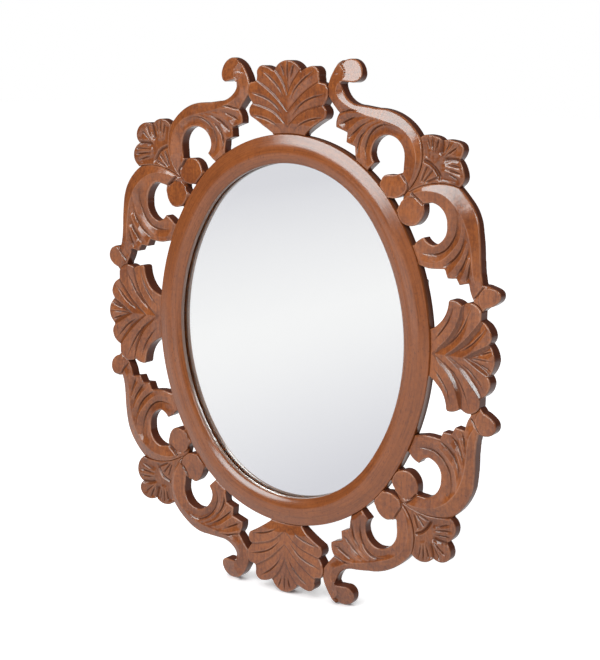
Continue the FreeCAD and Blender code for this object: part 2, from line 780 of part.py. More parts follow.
def hanger_ring():
    """D ring of bent wire, its straight bar in the eye of the strap, hanging down behind the strap."""
    place = hanger_place()
    bar = STRAP_WIDTH / 2 + D_SIDE_CLEARANCE
    leg = bar + D_CORNER_RADIUS

    def disc(spot, facing):
        return Part.Face(Part.Wire(Part.makeCircle(WIRE_RADIUS, spot, facing)))

    pieces = [rod(Vector(-bar, 0, 0), RIGHT, 2 * bar, WIRE_RADIUS)]
    bend = disc(Vector(bar, 0, 0), RIGHT).revolve(Vector(bar, 0, -D_CORNER_RADIUS), TO_WALL, 90)
    straight = rod(Vector(leg, 0, -D_CORNER_RADIUS), UP * -1, D_LEG - D_CORNER_RADIUS, WIRE_RADIUS)
    loop = disc(Vector(leg, 0, -D_LEG), UP).revolve(Vector(0, 0, -D_LEG), TO_WALL, 180)
    pieces += [bend, flipped_x(bend), straight, flipped_x(straight), loop]
    ring = only_solid(pieces[0].fuse(pieces[1:]))
    ring.rotate(CENTRE, RIGHT, D_REST_TILT)
    return ring.translated(Vector(place.x, BACK + EYE_HEIGHT, place.z))


def build():
    nodes = {}
    dowels = border_dowels()
    pins = shell_pins()
    buttons = button_spots()
    strap_spots = strap_screw_spots()
    strap_spots = strap_spots + [to_left(spot) for spot in strap_spots]

    # The ring, mortised at its joints and bored for dowels and screws
    cutters = quarters([tongue(GLUE_GAP)] + [hole for _, hole in dowels])
    cutters += [pilot(spot) for spot, _ in buttons.values()]
    cutters += [pilot(spot) for spot in strap_spots]
    for name, stave in ring_staves().items():
        nodes[name] = only_solid(stave.cut(cutters))
    nodes["ring_tongues"] = Part.makeCompound(quarters([tongue(0.0)]))

    # The border all round
    pieces = border_pieces()
    nodes["palmette_top"] = pieces["palmette_top"]
    nodes["palmette_bottom"] = flipped_z(pieces["palmette_top"])
    nodes["palmette_right"] = pieces["palmette_right"]
    nodes["palmette_left"] = flipped_x(pieces["palmette_right"])
    for name in ("crest_scroll", "side_scroll", "shell"):
        nodes.update(four_ways(name, pieces[name]))
    pairs = [dowel for dowel, _ in dowels[:4]]
    singles = quarters([dowel for dowel, _ in dowels[4:]])
    nodes["border_dowels"] = Part.makeCompound(
        pairs + [flipped_z(pairs[0]), flipped_z(pairs[1]), flipped_x(pairs[2]), flipped_x(pairs[3])] + singles)
    nodes["shell_pins"] = Part.makeCompound(quarters([pin for pin, _ in pins]))

    # Glass, its silver coat and the backing board, stacked in the rebate
    sheet = oval_face(RING_WIDTH - REBATE_WIDTH + EDGE_CLEARANCE)
    coat_top = BACKING_RECESS + BACKING_THICKNESS + SILVER_THICKNESS
    nodes["mirror_glass"] = slab(sheet, coat_top, REBATE_DEPTH)
    nodes["silver_coat"] = slab(sheet, BACKING_RECESS + BACKING_THICKNESS, coat_top)
    nodes["backing_board"] = slab(sheet, BACKING_RECESS, BACKING_RECESS + BACKING_THICKNESS)

    # Turn buttons
    under_head = BUTTON_LIFT + BUTTON_THICKNESS + BUTTON_LIFT
    for name, (spot, angle) in buttons.items():
        nodes[name] = turn_button(spot, angle)
    nodes["button_screws"] = Part.makeCompound(
        [screw(spot, PIVOT_RADIUS, under_head) for spot, _ in buttons.values()])

    # Hangers
    strap = hanger_strap()
    ring = hanger_ring()
    nodes["hanger_strap_right"] = strap
    nodes["hanger_strap_left"] = flipped_x(strap)
    nodes["hanger_ring_right"] = ring
    nodes["hanger_ring_left"] = flipped_x(ring)
    nodes["hanger_screws"] = Part.makeCompound(
        [screw(spot, SCREW_RADIUS, STRAP_THICKNESS) for spot in strap_spots])

    # Pads against the wall
    spot = on_top_arc(PAD_ANGLE, (RING_WIDTH - REBATE_WIDTH) / 2)
    pad = rod(Vector(spot.x, BACK, spot.z), TO_WALL, PAD_THICKNESS, PAD_RADIUS)
    nodes["wall_pads"] = Part.makeCompound(quarters([pad]))
    return nodes


if __name__ == "__main__":
    os.makedirs("parts", exist_ok=True)
    for name, shape in build().items():
        if not shape.isValid():
            raise ValueError("bad shape " + name)
        shape.exportStep("parts/%s.step" % name)
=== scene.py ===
"""Carved oval wall mirror: the looks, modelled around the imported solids.

Metres, in the frame of the solids: +X right, +Z up, the face looks along -Y, the wall is Y = 0.
The carving is drawn in millimetres in the upper right quarter, (across, up) from the middle of the oval.
"""
import math
from collections import namedtuple

import bpy
import numpy as np
from bpy.props import FloatProperty, FloatVectorProperty, IntProperty, PointerProperty
from mathutils import Euler, Matrix, Vector


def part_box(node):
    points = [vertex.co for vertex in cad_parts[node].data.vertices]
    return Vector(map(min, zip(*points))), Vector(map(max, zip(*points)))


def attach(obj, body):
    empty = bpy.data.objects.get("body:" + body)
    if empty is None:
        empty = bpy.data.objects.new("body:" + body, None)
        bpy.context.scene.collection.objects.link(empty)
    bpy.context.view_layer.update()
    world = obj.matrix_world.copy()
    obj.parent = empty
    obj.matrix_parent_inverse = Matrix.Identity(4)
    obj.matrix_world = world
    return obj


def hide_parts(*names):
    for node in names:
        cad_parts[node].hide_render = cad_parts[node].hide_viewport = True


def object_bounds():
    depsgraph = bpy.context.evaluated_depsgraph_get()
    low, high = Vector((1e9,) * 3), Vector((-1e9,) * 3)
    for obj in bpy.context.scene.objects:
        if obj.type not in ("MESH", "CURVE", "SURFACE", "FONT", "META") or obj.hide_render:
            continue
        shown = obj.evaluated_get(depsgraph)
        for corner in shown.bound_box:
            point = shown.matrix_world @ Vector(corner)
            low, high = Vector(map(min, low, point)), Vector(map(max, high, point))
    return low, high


bl_info = {
    "name": "Carved Oval Mirror",
    "version": (1, 0, 0),
    "blender": (4, 5, 0),
    "location": "3D View > Sidebar > Oval Mirror",
    "description": "Models the ring, carved border, glass and fittings of an oval wall mirror",
    "category": "Object",
}

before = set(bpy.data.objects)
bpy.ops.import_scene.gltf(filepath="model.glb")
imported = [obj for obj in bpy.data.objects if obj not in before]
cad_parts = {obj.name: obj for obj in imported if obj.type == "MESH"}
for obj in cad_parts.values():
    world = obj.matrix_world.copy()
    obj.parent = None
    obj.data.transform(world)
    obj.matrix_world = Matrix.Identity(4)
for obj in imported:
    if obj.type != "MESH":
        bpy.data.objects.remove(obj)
CAD_BOX = [list(corner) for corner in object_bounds()]

MM = 0.001
WELD = 1e-6
ON_PLANE = 1e-5
SQUARE_ON = 0.99
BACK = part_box("ring_top")[1].y
FLOOR_HEIGHT = CAD_BOX[0][2]
QUARTERS = (("top_right", 1, 1), ("top_left", -1, 1), ("bottom_right", 1, -1), ("bottom_left", -1, -1))


# Settings

def length(name, description, millimetres):
    return FloatProperty(
        name=name, description=description, default=millimetres * MM, unit="LENGTH", precision=5)


def colour(name, description, red, green, blue):
    return FloatVectorProperty(
        name=name, description=description, default=(red, green, blue),
        subtype="COLOR", size=3, min=0.0, max=1.0)


def power(name, description, watts):
    return FloatProperty(name=name, description=description, default=watts, unit="POWER")


class RingSizes(bpy.types.PropertyGroup):
    """Section of the ring, across from the sight edge and up from the back."""
    width: length("Width", "Across the ring from the sight edge to the outer edge", 32.0)
    edge_height: length("Edge height", "Height of the outer edge", 12.2)
    crest_height: length("Crest height", "Height of the crest", 18.6)
    crest_across: length("Crest across", "Distance of the crest from the sight edge", 12.0)
    knee_across: length("Knee across", "Where the round crest runs into the flat outer face", 22.0)
    face_slope: FloatProperty(
        name="Face slope", description="Fall of the flat outer face per length across", default=0.38)
    brow_height: length("Brow height", "Height of the front at the sight edge", 13.8)
    lip_height: length("Lip height", "Top of the recess under the lip", 7.7)
    rebate_height: length("Rebate height", "Underside of the lip", 6.4)
    rebate_width: length("Rebate width", "Width of the lip over the glass", 7.0)
    steps: IntProperty(name="Steps", description="Sections along each arc of the ring", default=72, min=8)


class CarvingSizes(bpy.types.PropertyGroup):
    """Tools and heights of the carving, up from the back of the border."""
    board: length("Board", "Thickness of the board before carving", 16.0)
    grid: length("Grid", "Spacing of the points that are carved", 0.62)
    ridge: length("Ridge", "Height of the ridge along a stem", 16.0)
    leaf: length("Leaf", "Height of the leaves beside a stem", 13.4)
    palmette: length("Palmette", "Height of a palmette", 15.4)
    shell: length("Shell", "Height of a shell", 12.4)
    foot: length("Foot", "Height of a piece where it meets the ring", 11.4)
    eased_edge: length("Eased edge", "Width of the worn edge all round a piece", 1.4)
    eased_drop: length("Eased drop", "Drop of the worn edge", 0.8)
    lobe_depth: length("Lobe depth", "Depth of the hollow between two ridges of a leaf", 2.7)
    step_width: length("Step width", "Width of the bevel from one lobe of a palmette to the next", 4.6)
    step_depth: length("Step depth", "Depth of that bevel", 3.4)
    step_rise: length("Step rise", "Width over which the next lobe rises again", 9.0)
    vein_cut: length("Vein cut", "Half width of the sharp cut along a vein", 1.15)
    vein_depth: length("Vein depth", "Depth of the sharp cut along a vein", 1.5)


class FinishColours(bpy.types.PropertyGroup):
    """Colours of the stain, the metals and the board."""
    stain: colour("Stain", "Brown stain of the wood", 0.197, 0.0535, 0.0153)
    stain_warm: colour("Warm stain", "Where the stain lies thin", 0.32, 0.092, 0.02)
    # Deep stain of the grain, pores and cuts; in the cuts, hollows and bevels it also stands for painted
    # shade
    deep_stain_and_shade: colour("Deep stain", "Where the stain gathers", 0.06, 0.016, 0.006)
    # Darker colour of the sides and the back; on the border's sides it partly stands for painted shade
    sawn: colour("Sawn side", "Dark sides of the border", 0.14, 0.042, 0.022)
    worn: colour("Worn edge", "Ridges that are rubbed pale", 0.44, 0.21, 0.12)
    lip: colour("Lip", "Inner edge of the ring beside the glass", 0.3, 0.215, 0.17)
    brass: colour("Brass", "Plated buttons", 0.75, 0.56, 0.25)
    zinc: colour("Zinc", "Plated hangers and screws", 0.62, 0.63, 0.64)
    hardboard: colour("Hardboard", "Backing board", 0.25, 0.135, 0.065)
    beech: colour("Beech", "Dowels and tongues", 0.62, 0.42, 0.25)
    rubber: colour("Rubber", "Wall pads", 0.025, 0.025, 0.026)


class StageSettings(bpy.types.PropertyGroup):
    """Light and camera."""
    floor: colour("Floor", "Pale floor", 0.86, 0.86, 0.87)
    key_power: power("Key power", "Large soft box above the front", 86.0)
    side_power: power("Side power", "Small soft box on the right", 17.0)
    low_power: power("Low power", "Soft box low in front", 3.5)
    fill: FloatProperty(name="Fill", description="Strength of the light all round", default=0.1, min=0.0)
    lens: FloatProperty(name="Lens", description="Focal length in millimetres", default=80.87, min=1.0)


# Small helpers around Blender's operators

def only(piece):
    """Select one piece alone and make it active."""
    if bpy.context.object and bpy.context.object.mode != "OBJECT":
        bpy.ops.object.mode_set(mode="OBJECT")
    bpy.ops.object.select_all(action="DESELECT")
    piece.select_set(True)
    bpy.context.view_layer.objects.active = piece


def edit(piece):
    """Go into edit mode on one piece, with all its faces selected."""
    only(piece)
    bpy.ops.object.mode_set(mode="EDIT")
    bpy.ops.mesh.select_mode(type="FACE")
    bpy.ops.mesh.select_all(action="SELECT")


def done_editing():
    bpy.ops.object.mode_set(mode="OBJECT")


def face_outward():
    """Turn all faces of the piece in edit mode outward."""
    bpy.ops.mesh.select_all(action="SELECT")
    bpy.ops.mesh.normals_make_consistent(inside=False)


def apply_modifier(piece, kind, **settings):
    only(piece)
    modifier = piece.modifiers.new(kind.title(), kind)
    for key, value in settings.items():
        setattr(modifier, key, value)
    bpy.ops.object.modifier_apply(modifier=modifier.name)


def points_of(piece):
    places = np.empty(len(piece.data.vertices) * 3)
    piece.data.vertices.foreach_get("co", places)
    return places.reshape(-1, 3)


def normals_of(piece):
    normals = np.empty(len(piece.data.vertices) * 3)
    piece.data.vertices.foreach_get("normal", normals)
    return normals.reshape(-1, 3)


def set_points(piece, places):
    piece.data.vertices.foreach_set("co", places.astype(np.float32).ravel())
    piece.data.update()


def note_on_points(piece, name, values):
    """Keep a number on every point for the materials."""
    layer = piece.data.attributes.new(name, "FLOAT", "POINT")
    layer.data.foreach_set("value", values.astype(np.float32))


def copy_of_solid(node, name):
    """New piece with a solid's merged mesh, nothing selected in it."""
    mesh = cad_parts[node].data.copy()
    mesh.materials.clear()
    piece = bpy.data.objects.new(name, mesh)
    mesh.name = name
    bpy.context.scene.collection.objects.link(piece)
    edit(piece)
    bpy.ops.mesh.remove_doubles(threshold=WELD)
    bpy.ops.mesh.select_all(action="DESELECT")
    done_editing()
    return piece


def flipped_copy(piece, name, across, upward):
    """Own copy of a piece, mirrored in the middle of the oval."""
    only(piece)
    bpy.ops.object.duplicate(linked=False)
    copy = bpy.context.object
    copy.name = name
    copy.data.name = name
    edit(copy)
    bpy.ops.transform.resize(value=(across, 1, upward), center_override=(0, 0, 0))
    face_outward()
    done_editing()
    return copy


def place_piece(piece, node, material):
    """Dress a finished piece and let it stand for its solid."""
    piece.data.materials.clear()
    piece.data.materials.append(material)
    only(piece)
    bpy.ops.object.shade_smooth()
    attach(piece, "frame")
    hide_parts(node)


# Drawing with strokes

def smooth_line(spots, parts=8):
    """Smooth stroke through the given spots."""
    spots = np.array(spots, float)
    ends = np.vstack([2 * spots[0] - spots[1], spots, 2 * spots[-1] - spots[-2]])
    line = []
    for before, start, end, after in zip(ends, ends[1:], ends[2:], ends[3:]):
        for share in np.arange(parts) / parts:
            line.append(0.5 * (2 * start + (end - before) * share
                               + (2 * before - 5 * start + 4 * end - after) * share ** 2
                               + (3 * start - before - 3 * end + after) * share ** 3))
    line.append(spots[-1])
    return np.array(line)


def nearest(starts, ends, spots):
    """Distance from each spot to the nearest segment, how far along, on which side, and the foot there."""
    lengths = np.hypot(*(ends - starts).T)
    run = np.concatenate([[0.0], np.cumsum(lengths)])
    gap = np.full(len(spots), np.inf)
    along = np.zeros(len(spots))
    side = np.zeros(len(spots))
    foot = spots.copy()
    for start, end, long, before in zip(starts, ends, lengths, run):
        if long < 1e-9:
            continue
        way = (end - start) / long
        off = spots - start
        far = np.clip(off @ way, 0.0, long)
        off = off - far[:, None] * way
        distance = np.hypot(off[:, 0], off[:, 1])
        closer = distance < gap
        gap[closer] = distance[closer]
        along[closer] = (before + far[closer]) / run[-1]
        side[closer] = np.sign(way[0] * off[closer, 1] - way[1] * off[closer, 0])
        foot[closer] = spots[closer] - off[closer]
    return gap, along, side, foot


def near_line(line, spots):
    return nearest(line[:-1], line[1:], spots)


def fading(along, start, end):
    """Full in the middle of a stroke, running out over the given shares of its length at both ends."""
    return np.clip(np.minimum(along / start, (1 - along) / end), 0.0, 1.0)


# Ring

def ring_arcs():
    """Arcs of the outer edge, in millimetres, from the solids: centres, reaches and the joint's angle."""
    half_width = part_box("ring_right")[1].x / MM
    half_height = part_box("ring_top")[1].z / MM
    joint_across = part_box("ring_top")[1].x / MM
    joint_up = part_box("ring_right")[1].z / MM
    drop = half_height - joint_up
    top_reach = (joint_across ** 2 + drop ** 2) / (2 * drop)
    inset = half_width - joint_across
    side_reach = (joint_up ** 2 + inset ** 2) / (2 * inset)
    top_centre = half_height - top_reach
    return {
        "top_centre": top_centre,
        "top_reach": top_reach,
        "side_centre": side_reach - half_width,
        "side_reach": side_reach,
        "joint": math.atan2(joint_up - top_centre, joint_across),
    }


RING_ARCS = ring_arcs()

# Small curves of the ring's section in millimetres: in from the edge, and down from its height
BACK_CURVE = ((0.5, 0.0), (0.0, -0.5))
EDGE_CURVE = ((0.0, 1.2), (0.12, 0.12), (0.3, -0.4))
BROW_CURVE = ((0.5, 0.7), (0.1, 1.6))
LIP_CURVE = ((0.0, -0.3), (0.2, 0.0), (1.2, 0.4))

OUTER_FACE_START = 0.968
OUTER_FACE_PARTS = 22
INNER_FACE_END = 1.2 * MM
INNER_FACE_PARTS = 10
INNER_FACE_BEND = 1.7


def oval_gap(spots):
    """Distance outward from the outer edge of the ring, in millimetres."""
    across, up = np.abs(spots).T
    on_top = np.hypot(across, up - RING_ARCS["top_centre"]) - RING_ARCS["top_reach"]
    on_side = np.hypot(across + RING_ARCS["side_centre"], up) - RING_ARCS["side_reach"]
    steep = up - RING_ARCS["top_centre"] > across * math.tan(RING_ARCS["joint"])
    return np.where(steep, on_top, on_side)


def ring_section(sizes):
    """Section of the ring as (across, height) points, from the back round the outer edge to the rebate."""
    section = [(sizes.rebate_width, 0.0)]
    section += [(sizes.width - inward * MM, -down * MM) for inward, down in BACK_CURVE]
    section += [(sizes.width - inward * MM, sizes.edge_height - down * MM) for inward, down in EDGE_CURVE]
    reach = sizes.width - sizes.crest_across
    bend = sizes.knee_across - sizes.crest_across
    for share in np.linspace(OUTER_FACE_START, 0.0, OUTER_FACE_PARTS):
        off_crest = reach * share
        rounded = 0.5 * min(off_crest, bend) ** 2 / bend
        fall = sizes.face_slope * (rounded + max(off_crest - bend, 0.0))
        section.append((sizes.crest_across + off_crest, sizes.crest_height - fall))
    fall = sizes.crest_height - sizes.brow_height
    reach = sizes.crest_across - INNER_FACE_END
    for part in range(1, INNER_FACE_PARTS + 1):
        share = part / INNER_FACE_PARTS
        drop = fall * share ** INNER_FACE_BEND
        section.append((sizes.crest_across - reach * share, sizes.crest_height - drop))
    section += [(across * MM, sizes.brow_height - down * MM) for across, down in BROW_CURVE]
    section += [(across * MM, sizes.lip_height - down * MM) for across, down in LIP_CURVE]
    section.append((section[-1][0], sizes.rebate_height))
    section.append((sizes.rebate_width, sizes.rebate_height))
    return section


def close_end(stave, middle, angle):
    """Fill the open end of a spun stave that lies at the given angle."""
    bpy.ops.mesh.select_all(action="DESELECT")
    done_editing()
    way = Vector((-math.sin(angle), 0, math.cos(angle)))
    for point in stave.data.vertices:
        point.select = abs((point.co - middle).dot(way)) < ON_PLANE
    for rib in stave.data.edges:
        rib.select = all(stave.data.vertices[end].select for end in rib.vertices)
    bpy.ops.object.mode_set(mode="EDIT")
    bpy.ops.mesh.edge_face_add()


def note_ring_finish(stave, middle, reach, sizes):
    """Note the way of the grain, the dark outer wall, the back and the lip on the points of a stave."""
    close = 0.1 * MM
    lip_width = 0.4 * MM
    wall_top = sizes.edge_height - 2.0 * MM
    grain_lean = 0.35
    places = points_of(stave)
    across = sizes.width - reach + np.hypot(places[:, 0] - middle.x, places[:, 2] - middle.z)
    height = BACK - places[:, 1]
    outer_wall = (across > sizes.width - close) & (height < wall_top)
    lip = (across < lip_width) & (height > sizes.lip_height - close)
    note_on_points(stave, "across", across + grain_lean * height)
    note_on_points(stave, "sawn", outer_wall.astype(float))
    note_on_points(stave, "rear", (height < sizes.rebate_height - close).astype(float))
    note_on_points(stave, "lip", lip.astype(float))


def ring_stave(node, middle, reach, first, last, sizes):
    """One arc of the ring, its section spun about the middle of the arc."""
    section = ring_section(sizes)
    bpy.ops.object.select_all(action="DESELECT")
    bpy.ops.mesh.primitive_circle_add(vertices=len(section), radius=0.01, fill_type="NOTHING")
    stave = bpy.context.object
    stave.name = node + "_wood"
    stave.data.name = stave.name
    for point, (across, height) in zip(stave.data.vertices, section):
        out = reach - sizes.width + across
        point.co = (middle.x + out * math.cos(first), BACK - height, middle.z + out * math.sin(first))
    edit(stave)
    bpy.ops.mesh.select_mode(type="EDGE")
    bpy.ops.mesh.select_all(action="SELECT")
    bpy.ops.mesh.spin(steps=sizes.steps, angle=last - first, center=middle, axis=(0, 1, 0))
    bpy.ops.mesh.select_all(action="SELECT")
    bpy.ops.mesh.remove_doubles(threshold=WELD)
    for angle in (first, last):
        close_end(stave, middle, angle)
    face_outward()
    done_editing()
    note_ring_finish(stave, middle, reach, sizes)
    return stave


# Carved border

Cut = namedtuple("Cut", "line half_width depth")
Disc = namedtuple("Disc", "across up radius height fall_across fall_up whole")


class Drawing:
    """Strokes of one ornament, in millimetres.

    veins: sharp V cuts; where no lobe steps down, each lies in a hollow between ridges
    ridges: sharp edges between two lobes
    step: how far the next lobe lies lower, as shingles do: on the left of a ridge, on its right if negative
    cuts: single V cuts
    stem: the long ridge of a scroll
    steep: how steep the stem's left and right faces are, by share of its length
    slope: steepest fall from a ridge to a vein
    shade: share of dark stain left all over the piece
    discs: flat ends, whole or on the left of the stem only, and how they fall across and upward
    fold: the way in which the ornament repeats, mirrored
    """

    def __init__(self, veins, ridges, cuts=(), stem=None, steep=(), discs=(), fold=None, step=0, slope=0.36,
                 shade=0.0):
        self.veins = [smooth_line(spots) for spots in veins]
        self.ridges = [smooth_line(spots) for spots in ridges]
        self.cuts = [cut._replace(line=smooth_line(cut.line)) for cut in cuts]
        self.stem = smooth_line(stem) if stem else None
        self.steep = np.array(steep)
        self.discs = discs
        self.fold = fold
        self.step = step
        self.slope = slope
        self.shade = shade

    def strokes(self):
        stem = [] if self.stem is None else [self.stem]
        return self.veins + self.ridges + stem


PALMETTE_TOP = Drawing(
    fold="across",
    step=0.4,
    veins=[
        [(34.0, 291.0), (20.5, 281.5), (10.0, 271.0), (4.0, 260.0)],
        [(49.5, 267.0), (31.0, 262.0), (18.0, 255.0), (5.0, 242.0)],
        [(47.5, 242.0), (31.0, 239.0), (18.0, 234.0), (7.0, 226.5)],
        [(9.0, 299.0), (6.5, 292.0), (4.0, 284.0)],
        [(0.0, 302.0), (0.0, 292.0), (0.0, 280.0)],
    ],
    ridges=[
        [(0.5, 264.5), (4.5, 273.0), (10.5, 282.5), (20.0, 294.0)],
        [(0.5, 246.5), (14.0, 260.0), (26.5, 270.0), (43.0, 280.5)],
        [(0.5, 230.0), (14.0, 242.0), (28.0, 249.0), (50.0, 254.5)],
    ],
)

PALMETTE_RIGHT = Drawing(
    fold="upward",
    step=-1.0,
    veins=[
        [(187.5, 13.0), (198.5, 25.5), (206.5, 38.0), (212.0, 54.0)],
        [(200.0, 6.5), (213.5, 19.0), (224.0, 33.5), (234.0, 54.0)],
        [(219.0, 5.5), (232.5, 14.0), (243.5, 25.0), (250.0, 33.0)],
        [(242.0, 4.6), (250.0, 7.6), (258.0, 11.0)],
        [(229.0, 0.0), (245.0, 0.0), (260.0, 0.0)],
    ],
    ridges=[
        [(186.0, 0.5), (199.0, 12.0), (208.5, 23.0), (216.0, 37.0), (221.5, 55.0)],
        [(203.0, 0.5), (221.0, 15.0), (235.0, 30.0), (245.5, 42.5)],
        [(225.0, 0.5), (242.0, 11.0), (255.0, 18.0)],
    ],
)

CREST_SCROLL = Drawing(
    stem=[(62.5, 301.5), (69.5, 296.0), (73.5, 290.0), (71.5, 283.0), (65.5, 277.5), (63.5, 271.0),
          (66.0, 264.5), (71.5, 259.0), (80.0, 254.0), (90.0, 249.5), (101.0, 246.0), (112.0, 243.5),
          (124.0, 240.5), (135.0, 237.5), (145.0, 233.0), (153.5, 226.5), (160.0, 217.5), (163.0, 206.0),
          (162.5, 195.0), (159.5, 185.0), (154.0, 175.0)],
    steep=[(0.0, 0.06, 0.26), (0.1, 0.06, 0.24), (0.17, 0.42, 0.2), (0.24, 0.42, 0.16), (0.7, 0.4, 0.13),
           (0.8, 0.42, 0.16), (1.0, 0.42, 0.2)],
    veins=[
        [(63.5, 247.0), (73.5, 249.2), (83.0, 251.0), (93.0, 249.5)],
        [(66.5, 235.0), (78.0, 240.3), (90.0, 245.0)],
        [(77.0, 220.5), (86.0, 228.3), (96.5, 236.0), (108.0, 240.5)],
        [(89.5, 203.0), (90.0, 213.0), (94.0, 223.5), (103.0, 232.5)],
        [(102.0, 198.0), (99.5, 208.0), (100.7, 217.0), (104.7, 225.5), (111.7, 232.3), (121.0, 236.3),
         (130.0, 236.5), (139.0, 233.5)],
    ],
    ridges=[
        [(65.0, 243.0), (79.0, 247.8), (92.0, 247.8)],
        [(74.5, 227.5), (83.7, 233.8), (92.5, 240.0), (103.0, 243.0)],
        [(84.5, 216.5), (91.5, 227.0), (101.0, 236.0), (113.0, 240.8)],
        [(94.5, 199.0), (94.0, 211.0), (97.0, 221.5), (102.5, 229.0), (110.0, 235.0), (120.5, 239.0)],
    ],
    cuts=[
        Cut([(143.0, 190.0), (148.0, 182.5), (153.0, 174.5), (151.0, 167.0)], half_width=1.8, depth=1.5),
    ],
    discs=[
        Disc(134.7, 175.5, radius=15.6, height=13.4, fall_across=0.05, fall_up=0.1, whole=True),
        Disc(83.0, 290.0, radius=18.0, height=12.4, fall_across=0.13, fall_up=0.32, whole=False),
    ],
)

SIDE_SCROLL = Drawing(
    stem=[(157.0, 164.5), (163.0, 168.0), (171.0, 170.2), (182.0, 170.3), (193.0, 168.4), (202.0, 164.6),
          (209.5, 159.3), (216.0, 152.5), (221.5, 145.0), (225.5, 136.0), (228.5, 127.0), (230.5, 117.0),
          (232.0, 105.0), (232.5, 94.0), (235.0, 82.0), (240.5, 72.0)],
    steep=[(0.0, 0.42, 0.2), (0.2, 0.44, 0.14), (0.4, 0.42, 0.13), (0.75, 0.36, 0.16), (0.92, 0.3, 0.2),
           (1.0, 0.12, 0.2)],
    veins=[
        [(169.0, 105.2), (180.0, 104.5), (190.0, 105.6), (199.0, 110.5), (206.0, 118.5), (211.0, 128.5),
         (213.0, 140.0), (212.5, 151.0)],
        [(194.5, 92.0), (205.5, 99.3), (214.0, 107.0), (220.0, 117.5), (223.0, 131.0)],
        [(210.5, 84.5), (218.0, 93.5), (224.0, 103.5), (228.0, 116.0)],
        [(224.0, 79.0), (227.3, 90.0), (230.0, 102.0)],
    ],
    ridges=[
        [(164.0, 98.0), (182.0, 95.8), (192.0, 98.2), (201.0, 104.0), (209.5, 112.5), (217.0, 123.0),
         (220.5, 137.0), (220.5, 149.0)],
        [(202.5, 87.0), (212.0, 96.0), (220.0, 106.0), (225.5, 118.5)],
        [(216.5, 80.5), (223.0, 91.0), (228.0, 103.5)],
    ],
    cuts=[
        Cut([(157.0, 168.0), (163.5, 162.8), (172.5, 155.5)], half_width=2.2, depth=2.0),
        Cut([(234.5, 62.5), (240.5, 69.5), (247.0, 78.5)], half_width=1.6, depth=1.2),
    ],
    discs=[
        Disc(157.2, 147.8, radius=15.6, height=13.4, fall_across=0.05, fall_up=0.1, whole=True),
        Disc(254.5, 64.5, radius=14.0, height=13.4, fall_across=0.1, fall_up=-0.05, whole=True),
    ],
    slope=0.48,
)

SHELL = Drawing(
    veins=[
        [(174.5, 229.0), (176.5, 220.0), (178.0, 212.0)],
        [(181.0, 231.5), (181.0, 221.0), (181.0, 211.0)],
        [(188.5, 229.0), (186.5, 220.0), (184.5, 211.0)],
        [(203.5, 227.5), (199.5, 218.5), (194.5, 209.5)],
        [(212.0, 220.0), (204.0, 213.5), (195.5, 206.5)],
        [(219.5, 198.0), (208.0, 198.3), (196.5, 198.5)],
        [(219.5, 191.0), (208.0, 192.3), (196.0, 194.0)],
        [(215.0, 183.5), (206.0, 187.0), (196.0, 190.0)],
    ],
    ridges=[
        [(177.8, 230.5), (178.8, 221.0), (179.6, 212.0)],
        [(184.8, 230.8), (183.8, 221.0), (182.8, 211.0)],
        [(208.0, 224.5), (202.0, 216.0), (195.0, 208.0)],
        [(220.0, 194.5), (208.0, 195.3), (196.2, 196.2)],
        [(218.0, 187.0), (207.5, 189.6), (196.0, 192.0)],
    ],
    cuts=[
        Cut([(170.0, 202.5), (180.0, 198.0), (187.0, 190.5), (191.5, 181.0)], half_width=2.6, depth=2.7),
        Cut([(194.0, 226.5), (192.5, 218.0), (190.0, 208.0)], half_width=3.6, depth=2.2),
        Cut([(215.0, 204.5), (204.0, 204.8), (192.5, 203.0)], half_width=3.6, depth=2.2),
        Cut([(175.0, 196.5), (171.5, 188.0), (168.0, 178.0)], half_width=1.7, depth=1.5),
        Cut([(182.0, 192.5), (176.0, 185.5), (169.5, 177.5)], half_width=1.7, depth=1.5),
        Cut([(188.0, 185.0), (180.5, 182.0), (173.0, 178.5)], half_width=1.7, depth=1.5),
    ],
    shade=0.25,
)

# Where the carver's hand moved single ornaments: (across, up, shift across, shift up, reach)
HAND_SHIFTS = (
    (-86.0, 280.0, -0.7, -2.2, 10.0),
    (-140.0, 245.0, -1.0, 1.2, 22.0),
    (-228.0, 160.0, -2.4, 0.5, 30.0),
    (-190.0, 160.0, 0.0, 2.5, 10.0),
    (-182.0, 232.0, -0.5, 1.5, 20.0),
    (-259.0, 70.0, 1.5, -0.6, 10.0),
    (-250.0, 0.0, -1.0, 0.0, 40.0),
    (92.0, 285.0, 1.0, -0.8, 10.0),
    (182.0, 233.0, -1.0, -4.2, 14.0),
    (206.0, 227.0, -3.0, -4.0, 12.0),
    (222.0, 197.0, -4.0, -2.0, 14.0),
    (237.0, 140.0, -2.2, 0.0, 30.0),
    (222.0, 168.0, -1.5, -1.5, 16.0),
    (255.0, 79.0, -1.5, -3.2, 10.0),
    (134.0, 191.0, 0.0, -5.5, 11.0),
    (207.0, 86.0, 0.5, -2.3, 12.0),
    (240.0, 45.0, -1.5, -0.5, 16.0),
    (255.0, -66.0, -1.5, -3.0, 14.0),
    (213.0, -205.0, -5.0, -0.5, 22.0),
    (110.0, -256.0, 0.0, -3.0, 30.0),
    (160.0, -161.0, 1.0, -2.5, 10.0),
    (134.0, -191.0, 0.0, -2.5, 11.0),
    (-4.0, -301.0, 0.0, -2.2, 24.0),
    (-88.0, -300.0, -0.6, -1.0, 12.0),
    (-120.0, -256.0, -3.0, -4.2, 30.0),
    (-213.0, -205.0, -1.2, -4.2, 22.0),
    (-134.0, -191.0, 0.5, -5.0, 11.0),
    (-261.0, -66.0, 2.0, 0.5, 10.0),
)

# Shares of a stroke's length over which it runs in and out
VEIN_START = 0.25
VEIN_END = 0.35
CUT_START = 0.08
CUT_END = 0.2
STEM_END = 0.1

# How full the step beside a ridge is along it, from the spine to the rim
STEP_PLACES = (0, 0.45, 0.8, 1)
STEP_SHARES = (0.4, 1, 0.9, 0.5)

